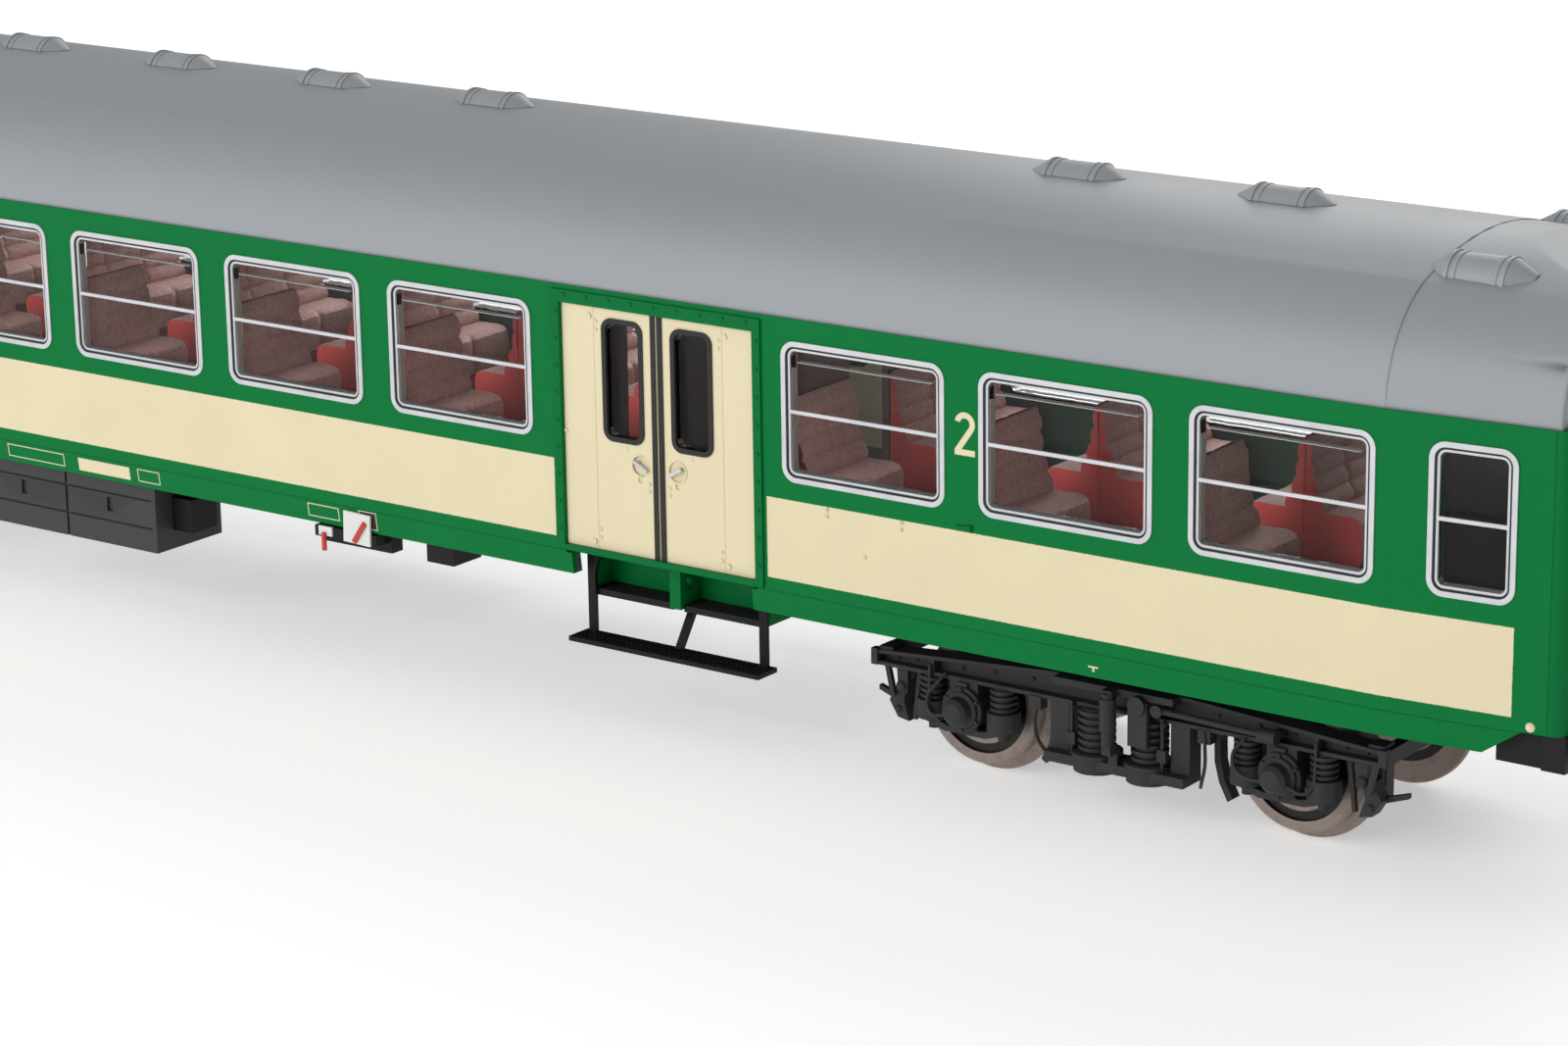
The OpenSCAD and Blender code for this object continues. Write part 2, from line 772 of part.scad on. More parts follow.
module brake_levers() {
    color("#c02822") on_rail() half_turn() {
        translate([25.4, -hb - 0.2, 11.6]) rotate([0, 35, 0])
            block(-0.2, 0.2, -0.25, 0, -1.1, 1.1);
        translate([21.3, -hb - 0.2, 10.3]) block(-0.18, 0.18, -0.25, 0, -0.9, 0.7);
    }
}

module pipes() {
    color("#26262a") on_rail() {
        both_sides() translate([0, 7.6, 12.2]) difference() {
            bar_x(0.4, 28, 62.6);
            bar_x(0.15, 0, 70);
        }
        both_sides() translate([0, 7.6, 12.2]) mirror([1, 0, 0]) bar_x(0.4, 28, 62.6);
    }
}

module pivot_screw() {
    difference() {
        union() {
            translate([0, 0, bolster_z0 - 1]) cylinder(r = 2.4, h = 0.9);
            translate([0, 0, bolster_z0 - 0.2]) cylinder(r = screw_r, h = pan_z1 - bolster_z0 + 0.2);
        }
        block(-3, 3, -0.3, 0.3, bolster_z0 - 2, bolster_z0 - 0.6);
        block(-0.3, 0.3, -3, 3, bolster_z0 - 2, bolster_z0 - 0.6);
    }
}

module coupler_pin() {
    arm_low = coupler_z - arm_t / 2 - pan_gap;
    translate([0, 0, arm_low - 0.6]) cylinder(r = 1.3, h = 0.6);
    translate([0, 0, arm_low]) cylinder(r = pin_r, h = pan_z1 - arm_low);
}

module pivot_pins() {
    color("#7d7f83") on_rail() both_ends() {
        translate([pivot_x, 0, 0]) pivot_screw();
        translate([coupler_x, 0, 0]) coupler_pin();
    }
}

// ---- bogies --------------------------------------------------------------

module side_beam() {
    run_y(beam_y0, web_y)
        polygon([[-frame_hl, beam_z0], [frame_hl, beam_z0], [frame_hl, beam_z1],
                 [6, beam_z2], [-6, beam_z2], [-frame_hl, beam_z1]]);
    run_y(web_y, frame_y) {
        polygon([[-frame_hl, beam_z0], [frame_hl, beam_z0], [frame_hl, beam_z0 + 0.3],
                 [-frame_hl, beam_z0 + 0.3]]);
        for (s = [-1, 1])
            polygon([[s * frame_hl, beam_z1 - 0.3], [s * frame_hl, beam_z1],
                     [s * 6, beam_z2], [s * 6, beam_z2 - 0.3]]);
        translate([-6, beam_z2 - 0.3]) square([12, 0.3]);
    }
    both_ends() {
        block(frame_hl - 0.4, frame_hl, beam_y0, frame_y, beam_z0, beam_z1);
        block(17.2, 17.5, beam_y0, frame_y, beam_z0, beam_z1 + 0.25);
        block(4.6, 6.3, beam_y0, frame_y - 0.1, 3.5, beam_z0);
    }
}

// the pedestal, bearing and spring cups at one axle end
module axle_guide() {
    difference() {
        union() {
            translate([0, 0, wheel_r]) bar_y(1.75, 10.6, frame_y);
            block(-1.3, 1.3, 10.6, frame_y, wheel_r, beam_z0 + 0.1);
            run_y(10.6, frame_y)
                polygon([[-4.6, 4.3], [-1.6, 3.6], [1.6, 3.6], [4.6, 4.3],
                         [4.4, 3.9], [2, 3.1], [-2, 3.1], [-4.4, 3.9]]);
            block(-1.2, 1.2, 10.6, frame_y, 3.3, wheel_r);
            both_ends() translate([spring_x, spring_y, 0]) {
                translate([0, 0, 3.9]) cylinder(r = 1.35, h = 1.6);
                translate([0, 0, 3]) cylinder(r = 0.45, h = 1);
            }
        }
        translate([0, 0, wheel_r]) bar_y(stub_r + run_fit, 0, frame_y - 0.1);
    }
}

module bogie_frame() {
    difference() {
        union() {
            both_sides() {
                side_beam();
                both_ends() translate([axle_x, 0, 0]) axle_guide();
                block(-6.3, 6.3, beam_y0, 13, 2.8, 3.6);
                both_ends() translate([2.4, spring_y, 0]) {
                    translate([0, 0, 2.4]) cylinder(r = 1.85, h = 1.6);
                    translate([0, 0, 3.6]) cylinder(r = 2.05, h = 0.35);
                }
                block(-5.4, 5.4, frame_y - 0.2, 13.1, beam_z2 - 0.55, beam_z2);
            }
            both_ends() block(frame_hl - 1, frame_hl, -beam_y0, beam_y0, beam_z0, beam_z1);
            block(-3.6, 3.6, -beam_y0, beam_y0, bolster_z0, beam_z2);
            cylinder(r = 4.6, h = bolster_z1);
            both_ends() block(3, frame_hl - 0.5, -1.5, 1.5, beam_z0, beam_z1);
        }
        translate([0, 0, -1]) cylinder(r = screw_r + run_fit, h = 20);
        translate([0, 0, -1]) cylinder(r = 6, h = bolster_z0 + 1);
    }
}

module coil(r, h, turns) {
    rotate_extrude() {
        square([r - 0.3, h]);
        for (i = [0 : turns - 1])
            translate([r - 0.4, (i + 0.25) * h / turns]) square([0.4, 0.5 * h / turns]);
    }
}

module bogie_springs() {
    both_sides() {
        both_ends() {
            for (s = [-1, 1]) translate([axle_x + s * spring_x, spring_y, 5.5])
                coil(spring_r, beam_z0 - 5.5, 4);
            translate([2.4, spring_y, 4]) coil(big_spring_r, beam_z0 - 4, 6);
        }
    }
}

module axlebox_covers() {
    both_sides() both_ends() translate([axle_x, 0, wheel_r]) {
        bar_y(1.85, frame_y, frame_y + 0.35);
        translate([0, frame_y, 0]) rotate([-90, 0, 0]) rotate_extrude()
            polygon([[0, 0], [1.5, 0], [1.5, 0.6], [1.2, 0.75], [1.1, 1.45], [0.8, 1.75],
                     [0.4, 1.85], [0, 1.85]]);
        for (a = [30 : 60 : 330]) rotate([0, a, 0]) translate([1.65, 0, 0])
            bar_y(0.16, frame_y, frame_y + 0.55);
    }
}

module dampers() {
    both_sides() {
        translate([0, 13.75, 0]) {
            translate([0, 0, 5.4]) cylinder(r = 0.5, h = 4.2);
            translate([0, 0, 6.6]) cylinder(r = 0.65, h = 2.6);
        }
        block(-0.45, 0.45, 13.1, 14, 9.2, beam_z2);
        block(-0.4, 0.4, 12.9, 14, 4.6, 5.4);
        block(-0.4, 0.4, 12.5, 13, 3.6, 5);
        block(1.6, 3.3, 12.95, 13.45, 5.6, beam_z2 - 0.6);
        translate([2.45, 0, beam_z2 - 0.9]) bar_y(0.75, 13.1, 13.7);
        translate([0, 0, beam_z0 + 0.9]) {
            translate([4, 12.9, 0.3]) rotate([0, 91.5, 0]) cylinder(r = 0.25, h = 10);
            translate([0, 12.9, 0.04]) bar_x(0.6, 12.9, 14.4);
            translate([14, 0, 0.04]) bar_y(0.4, web_y, 12.9);
            translate([4, 0, 0.3]) bar_y(0.5, web_y, 13.3);
        }
    }
}

module brakes() {
    both_sides() both_ends() {
        difference() {
            block(shoe_x, shoe_x + 1.4, 7.8, 9.6, 3.6, beam_z0);
            translate([axle_x, 0, wheel_r]) bar_y(wheel_r + flange_h + 0.3, 0, 12);
        }
        block(shoe_x + 0.7, shoe_x + 1.5, 8.2, 9.2, 5, beam_z0);
    }
}

module wheel_profile() {
    polygon([[axle_r, wheel_y0], [wheel_r, wheel_y0], [wheel_r + flange_h - 0.15, wheel_y0],
             [wheel_r + flange_h, wheel_y0 + 0.15], [wheel_r + flange_h, wheel_y0 + 0.45],
             [wheel_r + 0.12, wheel_y0 + 0.85], [wheel_r, wheel_y0 + 1.1],
             [wheel_r, wheel_y1 - 0.2], [wheel_r - 0.2, wheel_y1], [wheel_r - 0.95, wheel_y1],
             [wheel_r - 1, wheel_y1 - 0.35], [wheel_r - 1.6, wheel_y1 - 0.35],
             [wheel_r - 1.65, wheel_y1 - 0.1], [1.5, wheel_y1 - 0.25], [1.4, wheel_y1],
             [axle_r, wheel_y1]]);
}

module wheel_pair() {
    color("#8a7c72") both_sides() translate([0, 0, wheel_r]) rotate([-90, 0, 0])
        rotate_extrude($fn = 96) wheel_profile();
}

module axle() {
    color("#6f7175") translate([0, 0, wheel_r]) {
        bar_y(axle_r, -10.2, 10.2);
        both_sides() bar_y(stub_r, 10.2, frame_y - 0.15);
    }
}

module at_bogie(s) { on_rail() translate([s * pivot_x, 0, 0]) children(); }

module at_axle(s, t) { at_bogie(s) translate([s * t * axle_x, 0, 0]) children(); }

module front_bogie_frame() { color("#202023") at_bogie(1) bogie_frame(); }

module front_bogie_springs() { color("#2a2a2d") at_bogie(1) bogie_springs(); }

module front_axlebox_covers() { color("#26262a") at_bogie(1) axlebox_covers(); }

module front_dampers() { color("#2d2d31") at_bogie(1) dampers(); }

module front_brakes() { color("#1f1f22") at_bogie(1) brakes(); }

module front_outer_wheels() { at_axle(1, 1) wheel_pair(); }

module front_outer_axle() { at_axle(1, 1) axle(); }

module front_inner_wheels() { at_axle(1, -1) wheel_pair(); }

module front_inner_axle() { at_axle(1, -1) axle(); }

module rear_bogie_frame() { color("#202023") at_bogie(-1) bogie_frame(); }

module rear_bogie_springs() { color("#2a2a2d") at_bogie(-1) bogie_springs(); }

module rear_axlebox_covers() { color("#26262a") at_bogie(-1) axlebox_covers(); }

module rear_dampers() { color("#2d2d31") at_bogie(-1) rotate([0, 0, 180]) dampers(); }

module rear_brakes() { color("#1f1f22") at_bogie(-1) brakes(); }

module rear_outer_wheels() { at_axle(-1, 1) wheel_pair(); }

module rear_outer_axle() { at_axle(-1, 1) axle(); }

module rear_inner_wheels() { at_axle(-1, -1) wheel_pair(); }

module rear_inner_axle() { at_axle(-1, -1) axle(); }

// ---- couplers ------------------------------------------------------------

module coupler_arm() {
    z0 = coupler_z - arm_t / 2;
    z1 = coupler_z + arm_t / 2;
    difference() {
        union() {
            translate([coupler_x, 0, z0]) cylinder(r = 2, h = arm_t);
            block(coupler_x, hl - 3, -1.4, 1.4, z0, z1);
            block(hl - 4.5, loop_x - 0.5, -2.3, 2.3, coupler_z - 1.3, coupler_z + 1.2);
            both_sides() block(loop_x - 0.5, loop_x + 0.5, 1.6, 2.3, coupler_z - 0.7, coupler_z + 0.7);
        }
        translate([coupler_x, 0, 0]) cylinder(r = pin_r + run_fit, h = 20);
        both_sides() translate([loop_x, 0, coupler_z]) bar_y(0.3 + run_fit, 1, 2);
    }
}

module coupler_loop() {
    z = coupler_z;
    translate([loop_x, 0, z]) bar_y(0.3, -1.9, 1.9);
    block(loop_x, loop_x + 4.2, -0.35, 0.35, z - 0.25, z + 0.25);
    difference() {
        block(loop_x + 1, loop_x + 5.2, -3.6, 3.6, z - 0.25, z + 0.25);
        block(loop_x, loop_x + 4.6, -3, -0.35, z - 1, z + 1);
        block(loop_x, loop_x + 4.6, 0.35, 3, z - 1, z + 1);
    }
}

module front_coupler_arm() { color("#202023") on_rail() coupler_arm(); }

module front_coupler_loop() { color("#55575b") on_rail() coupler_loop(); }

module rear_coupler_arm() { color("#202023") on_rail() rotate([0, 0, 180]) coupler_arm(); }

module rear_coupler_loop() { color("#55575b") on_rail() rotate([0, 0, 180]) coupler_loop(); }

side_left();
side_right();
end_walls();
roof();
roof_vents();
window_frames();
window_gaskets();
window_inner_frames();
glazing();
door_frames();
door_leaves();
door_rubbers();
door_handles();
step_wells();
inner_steps();
lower_steps();
floor_pan();
floor_beams();
pivot_bosses();
ballast_plate();
interior_floor();
partitions();
seats_near();
seats_far();
headstocks();
buffer_housings();
buffer_heads();
gangway_rubbers();
gangway_doors();
tail_lamps();
battery_boxes();
equipment_boxes();
air_tanks();
brake_panels();
brake_levers();
brake_plates();
pipes();
pivot_pins();
front_bogie_frame();
front_bogie_springs();
front_axlebox_covers();
front_dampers();
front_brakes();
front_outer_wheels();
front_outer_axle();
front_inner_wheels();
front_inner_axle();
rear_bogie_frame();
rear_bogie_springs();
rear_axlebox_covers();
rear_dampers();
rear_brakes();
rear_outer_wheels();
rear_outer_axle();
rear_inner_wheels();
rear_inner_axle();
front_coupler_arm();
front_coupler_loop();
rear_coupler_arm();
rear_coupler_loop();
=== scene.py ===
"""Looks of a model passenger coach that stands on two swivelling bogies."""

from __future__ import annotations

import logging
import math
import random
from dataclasses import dataclass, field
from enum import Enum
from typing import Callable, Iterable, Sequence

import bmesh
import bpy
from mathutils import Matrix, Vector


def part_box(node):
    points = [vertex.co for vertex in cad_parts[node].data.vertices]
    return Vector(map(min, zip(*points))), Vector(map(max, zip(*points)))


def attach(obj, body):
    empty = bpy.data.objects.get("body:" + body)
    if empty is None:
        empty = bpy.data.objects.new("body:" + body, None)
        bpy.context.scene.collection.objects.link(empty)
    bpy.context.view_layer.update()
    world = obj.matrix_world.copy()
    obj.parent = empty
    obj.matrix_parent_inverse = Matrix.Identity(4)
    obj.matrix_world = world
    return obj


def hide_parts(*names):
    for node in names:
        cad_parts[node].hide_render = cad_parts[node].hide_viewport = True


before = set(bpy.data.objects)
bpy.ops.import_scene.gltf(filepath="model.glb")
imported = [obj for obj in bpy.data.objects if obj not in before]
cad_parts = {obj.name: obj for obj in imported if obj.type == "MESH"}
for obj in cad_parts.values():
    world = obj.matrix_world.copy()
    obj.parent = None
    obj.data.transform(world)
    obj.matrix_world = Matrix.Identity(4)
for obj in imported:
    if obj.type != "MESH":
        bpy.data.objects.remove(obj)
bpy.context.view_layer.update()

MM = 0.001
LOG = logging.getLogger("coach")
Rgb = tuple[float, float, float]
Point = tuple[float, float, float]
Flat = tuple[float, float]


# ---- shader wiring -------------------------------------------------------


class Wire:
    """One value socket, whose arithmetic adds Math nodes."""

    def __init__(self, board: "Board", socket: bpy.types.NodeSocket) -> None:
        """Keeps the socket and the board it belongs to."""
        self.board = board
        self.socket = socket

    def _math(self, operation: str, *values: object) -> "Wire":
        """Adds one Math node.

        Args:
            operation: the node's operation.
            values: numbers or wires, in socket order.

        Returns:
            The node's result.
        """
        node = self.board.add("ShaderNodeMath", {"operation": operation}, dict(enumerate(values)))
        return Wire(self.board, node.outputs[0])

    def __add__(self, other: object) -> "Wire":
        """Sum."""
        return self._math("ADD", self, other)

    def __radd__(self, other: object) -> "Wire":
        """Sum with the wire on the right."""
        return self._math("ADD", other, self)

    def __sub__(self, other: object) -> "Wire":
        """Difference."""
        return self._math("SUBTRACT", self, other)

    def __rsub__(self, other: object) -> "Wire":
        """Difference with the wire on the right."""
        return self._math("SUBTRACT", other, self)

    def __mul__(self, other: object) -> "Wire":
        """Product."""
        return self._math("MULTIPLY", self, other)

    def __rmul__(self, other: object) -> "Wire":
        """Product with the wire on the right."""
        return self._math("MULTIPLY", other, self)

    def __abs__(self) -> "Wire":
        """Absolute value."""
        return self._math("ABSOLUTE", self)

    def __pow__(self, other: object) -> "Wire":
        """Power."""
        return self._math("POWER", self, other)

    def most(self, other: object) -> "Wire":
        """The larger of two values."""
        return self._math("MAXIMUM", self, other)

    def least(self, other: object) -> "Wire":
        """The smaller of two values."""
        return self._math("MINIMUM", self, other)

    def rise(self, low: float, high: float) -> "Wire":
        """A smooth step.

        Args:
            low: the value at which the result leaves 0.
            high: the value at which the result reaches 1.

        Returns:
            The step, from 0 to 1.
        """
        node = self.board.add(
            "ShaderNodeMapRange",
            {"interpolation_type": "SMOOTHSTEP"},
            {"Value": self, "From Min": low, "From Max": high},
        )
        return Wire(self.board, node.outputs["Result"])

    def between(self, low: float, high: float, edge: float) -> "Wire":
        """1 between two values and 0 outside them.

        Args:
            low: where the strip starts.
            high: where the strip ends.
            edge: width over which each edge fades.

        Returns:
            The strip's mask.
        """
        return self.rise(low - edge, low + edge) * (1.0 - self.rise(high - edge, high + edge))


class Board:
    """The node tree of one material, in the object's own millimetres."""

    def __init__(self, name: str) -> None:
        """Makes an empty material of that name."""
        self.material = bpy.data.materials.new(name)
        self.material.use_nodes = True
        self.tree = self.material.node_tree
        self.tree.nodes.clear()
        self.output = self.add("ShaderNodeOutputMaterial", {}, {})
        place = self.add("ShaderNodeTexCoord", {}, {}).outputs["Object"]
        self.place = self.add(
            "ShaderNodeVectorMath", {"operation": "SCALE"}, {0: place, "Scale": 1 / MM}
        ).outputs[0]
        parts = self.add("ShaderNodeSeparateXYZ", {}, {0: self.place}).outputs
        self.x, self.y, self.z = (Wire(self, parts[i]) for i in range(3))

    def add(self, kind: str, settings: dict[str, object], inputs: dict) -> bpy.types.Node:
        """Adds any node.

        Args:
            kind: the node's type.
            settings: its properties, or a ramp's stops under the key stops.
            inputs: socket name or number to a value, a socket or a wire.

        Returns:
            The node.
        """
        node = self.tree.nodes.new(kind)
        for key, value in settings.items():
            if key == "stops":
                ramp = node.color_ramp
                while len(ramp.elements) < len(value):
                    ramp.elements.new(0.5)
                for element, (at, shade) in zip(ramp.elements, value):
                    element.position = at
                    element.color = (*shade, 1.0)
            else:
                setattr(node, key, value)
        for key, value in inputs.items():
            self.feed(node.inputs[key], value)
        return node

    def feed(self, socket: bpy.types.NodeSocket, value: object) -> None:
        """Links a wire or a socket into a socket, or sets the socket's own value."""
        if isinstance(value, Wire):
            value = value.socket
        if isinstance(value, bpy.types.NodeSocket):
            self.tree.links.new(value, socket)
        else:
            socket.default_value = value

    def noise(self, per_mm: float, detail: float = 2.0, stretch: Point = (1, 1, 1)) -> Wire:
        """Smooth noise.

        Args:
            per_mm: lumps to a millimetre.
            detail: octaves of finer noise on top.
            stretch: scale of the noise along each axis.

        Returns:
            The noise, from 0 to 1 about a middle of 0.5.
        """
        place = self.place
        if stretch != (1, 1, 1):
            place = self.add(
                "ShaderNodeVectorMath", {"operation": "MULTIPLY"}, {0: place, 1: stretch}
            ).outputs[0]
        node = self.add(
            "ShaderNodeTexNoise", {}, {"Vector": place, "Scale": per_mm, "Detail": detail}
        )
        return Wire(self, node.outputs["Fac"])

    def specks(self, per_mm: float, size: float) -> Wire:
        """Scattered round dust specks.

        Args:
            per_mm: cells to a millimetre.
            size: reach of a speck, as a share of its cell.

        Returns:
            The specks' mask, which leaves most cells bare.
        """
        node = self.add("ShaderNodeTexVoronoi", {}, {"Vector": self.place, "Scale": per_mm})
        near = 1.0 - Wire(self, node.outputs["Distance"]).rise(0.0, size)
        pick = self.add("ShaderNodeSeparateColor", {}, {0: node.outputs["Color"]}).outputs[0]
        return near * Wire(self, pick).rise(0.86, 0.9)

    def blend(self, share: object, first: object, second: object) -> bpy.types.NodeSocket:
        """Mixes two colours.

        Args:
            share: how much of the second colour shows.
            first: a colour or a socket.
            second: a colour or a socket.

        Returns:
            The mixed colour.
        """
        node = self.add("ShaderNodeMix", {"data_type": "RGBA"}, {0: share})
        for key, value in ((6, first), (7, second)):
            self.feed(node.inputs[key], (*value, 1.0) if isinstance(value, tuple) else value)
        return node.outputs[2]

    def normal(self, height: Wire, depth: float, edge: float) -> bpy.types.NodeSocket:
        """Surface relief over softened edges.

        Args:
            height: the relief, from 0 to 1.
            depth: the relief's depth in millimetres.
            edge: radius in millimetres that edges are softened by.

        Returns:
            The normal.
        """
        inputs: dict = {"Height": height, "Distance": depth * MM, "Strength": 1.0}
        if edge:
            soft = self.add("ShaderNodeBevel", {"samples": 4}, {"Radius": edge * MM})
            inputs["Normal"] = soft.outputs[0]
        return self.add("ShaderNodeBump", {}, inputs).outputs[0]

    def close(self, **sockets: object) -> bpy.types.Material:
        """Ends the tree in one Principled shader.

        Args:
            sockets: the shader's sockets, with an underscore for each space.

        Returns:
            The material.
        """
        inputs = {key.replace("_", " "): value for key, value in sockets.items()}
        for key, value in inputs.items():
            if isinstance(value, tuple) and len(value) == 3:
                inputs[key] = (*value, 1.0)
        node = self.add("ShaderNodeBsdfPrincipled", {}, inputs)
        self.tree.links.new(node.outputs[0], self.output.inputs["Surface"])
        return self.material


# ---- finishes ------------------------------------------------------------


@dataclass(frozen=True)
class Satin:
    """Sprayed or moulded satin plastic with a fine skin, faint clouds and dust."""

    name: str
    colour: Rgb
    roughness: float = 0.42
    clouds: float = 0.06
    dust: float = 0.1
    grain: float = 0.006
    grains_per_mm: float = 7.0
    edge: float = 0.04
    shine: float = 0.5

    def shade(self, board: Board) -> object:
        """The base colour before clouds and dust; a subclass paints its pattern here."""
        return self.colour

    def build(self) -> bpy.types.Material:
        """Makes the material."""
        board = Board(self.name)
        skin = board.noise(self.grains_per_mm, 3.0)
        cloud = board.noise(0.11, 3.0)
        fade = (cloud - 0.5) * (2 * self.clouds) + (skin - 0.5) * self.clouds + 1.0
        grey = board.add("ShaderNodeCombineColor", {}, {0: fade, 1: fade, 2: fade}).outputs[0]
        colour = self.shade(board)
        toned = board.add(
            "ShaderNodeVectorMath", {"operation": "MULTIPLY"}, {0: grey, 1: colour}
        ).outputs[0]
        specks = board.specks(1.5, 0.12)
        dusty = board.blend(specks * self.dust, toned, (0.55, 0.54, 0.52))
        rough = (cloud - 0.5) * 0.12 + (skin - 0.5) * 0.1 + specks * 0.2 + self.roughness
        return board.close(
            Base_Color=dusty,
            Roughness=rough,
            Normal=board.normal(skin + specks * 0.8, self.grain, self.edge),
            Specular_IOR_Level=self.shine,
        )


@dataclass(frozen=True)
class Livery(Satin):
    """Body paint with printed cream bands outside, a painted shade line along the skirt crease, and a plain
    dark inside.
    """

    cream: Rgb = (0.75, 0.66, 0.44)
    inside: Rgb = (0.07, 0.13, 0.09)
    band_low: float = 15.6
    band_high: float = 22.25
    centre_end: float = 47.0
    end_start: float = 68.7
    end_end: float = 133.9
    crease: float = 14.5
    bend_x: float = 123.6
    bend_slope: float = 0.074
    skin_y: float = 16.0

    def shade(self, board: Board) -> object:
        """Paints the bands by height and length, and a painted shade line along the skirt crease, on the outer
        skin only.
        """
        along = abs(board.x) + (board.noise(3.0, 2.0) - 0.5) * 0.08
        height = board.z + (board.noise(3.5, 2.0) - 0.5) * 0.07
        reach = abs(board.y) + (abs(board.x) - self.bend_x).most(0.0) * self.bend_slope
        outer = reach.rise(self.skin_y - 0.1, self.skin_y + 0.1)
        lengths = (1.0 - along.rise(self.centre_end - 0.03, self.centre_end + 0.03)).most(
            along.between(self.end_start, self.end_end, 0.03)
        )
        band = height.between(self.band_low, self.band_high, 0.03) * lengths
        # Painted shade: a thin dark line along the skirt crease stands in for the shadow of a groove there.
        groove = board.z.between(self.crease - 0.05, self.crease + 0.05, 0.04)
        painted = board.blend(band, self.colour, self.cream)
        crease_shaded = board.blend(groove * 0.55, painted, tuple(c * 0.25 for c in self.colour))
        return board.blend(outer, self.inside, crease_shaded)


@dataclass(frozen=True)
class DustAndEdgeHighlight(Satin):
    """Black moulded plastic whose upper faces hold pale dust, with a painted highlight on its raised edges."""

    # Strength and colour of the dust on upper faces and of the painted highlight on raised edges.
    dust_and_highlight: float = 0.10
    dust_and_highlight_colour: Rgb = (0.09, 0.085, 0.08)

    def shade(self, board: Board) -> object:
        """Lays thin dust on what faces up and a painted highlight on the raised edges."""
        facts = board.add("ShaderNodeNewGeometry", {}, {}).outputs
        up = board.add("ShaderNodeSeparateXYZ", {}, {0: facts["Normal"]}).outputs[2]
        lying = Wire(board, up).rise(0.3, 1.0) * board.noise(1.6, 3.0).rise(0.35, 0.7)
        # Painted highlight: raised edges, found by pointiness, are lightened towards the pale colour, standing
        # in for edges catching light.
        edge_highlight = Wire(board, facts["Pointiness"]).rise(0.53, 0.62)
        share = (lying + edge_highlight * 0.6) * self.dust_and_highlight
        return board.blend(share, self.colour, self.dust_and_highlight_colour)


@dataclass(frozen=True)
class SilverPrint:
    """Silver foil print on the raised frames, a little uneven in tone."""

    name: str
    colour: Rgb = (0.60, 0.615, 0.635)
    metallic: float = 0.3
    roughness: float = 0.34

    def build(self) -> bpy.types.Material:
        """Makes the material."""
        board = Board(self.name)
        skin = board.noise(6.0, 3.0)
        patch = board.noise(0.5, 2.0)
        dull = tuple(c * 0.78 for c in self.colour)
        colour = board.blend(patch.rise(0.35, 0.75) * 0.5, self.colour, dull)
        return board.close(
            Base_Color=colour,
            Metallic=self.metallic,
            Roughness=(skin - 0.5) * 0.2 + self.roughness,
            Normal=board.normal(skin, 0.006, 0.06),
        )


@dataclass(frozen=True)
class ClearPane:
    """Clear moulded window plastic with faint flow marks."""

    name: str
    tint: Rgb = (0.96, 0.98, 0.97)
    ior: float = 1.2
    gleam: float = 0.12

    def build(self) -> bpy.types.Material:
        """Makes the material."""
        board = Board(self.name)
        flow = board.noise(0.7, 2.0, (1.0, 1.0, 0.35))
        return board.close(
            Base_Color=self.tint,
            Roughness=flow.rise(0.3, 0.8) * 0.02 + 0.005,
            IOR=self.ior,
            Specular_IOR_Level=self.gleam,
            Transmission_Weight=1.0,
            Normal=board.normal(flow, 0.012, 0.0),
        )


@dataclass(frozen=True)
class TurnedMetal:
    """Turned metal with fine rings about its axle."""

    name: str
    colour: Rgb
    centre: Flat
    metallic: float = 0.85
    roughness: float = 0.36
    rings_per_mm: float = 9.0
    groove: Flat = (0.0, 0.0)

    def build(self) -> bpy.types.Material:
        """Makes the material."""
        board = Board(self.name)
        across, up = board.x - self.centre[0], board.z - self.centre[1]
        radius = (across * across + up * up) ** 0.5
        ring = board.add(
            "ShaderNodeTexNoise",
            {"noise_dimensions": "1D"},
            {"W": radius * self.rings_per_mm, "Scale": 1.0, "Detail": 2.0},
        ).outputs["Fac"]
        rings = Wire(board, ring)
        stain = board.noise(1.3, 3.0)
        dark = tuple(c * 0.45 for c in self.colour)
        colour = board.blend((stain.rise(0.45, 0.8) + rings.rise(0.4, 0.8) * 0.4) * 0.5,
                             self.colour, dark)
        if self.groove[1]:
            # The band over the wheel face's groove is coloured near black, darker in the groove.
            painted = radius.between(self.groove[0], self.groove[1], 0.05)
            colour = board.blend(painted * 0.95, colour, (0.006, 0.006, 0.006))
        return board.close(
            Base_Color=colour,
            Metallic=self.metallic,
            Roughness=(rings - 0.5) * 0.25 + (stain - 0.5) * 0.15 + self.roughness,
            Normal=board.normal(rings, 0.01, 0.05),
        )


@dataclass(frozen=True)
class GrainedSeat(Satin):
    """Moulded upholstery with a woven grain."""

    def build(self) -> bpy.types.Material:
        """Makes the material."""
        board = Board(self.name)
        weave = board.noise(4.5, 4.0)
        pile = weave.rise(0.35, 0.7)
        pale = tuple(min(c * 1.6 + 0.02, 1.0) for c in self.colour)
        colour = board.blend(pile * 0.6, self.colour, pale)
        return board.close(
            Base_Color=colour,
            Roughness=0.75 - pile * 0.2,
            Normal=board.normal(weave, 0.05, 0.1),
        )


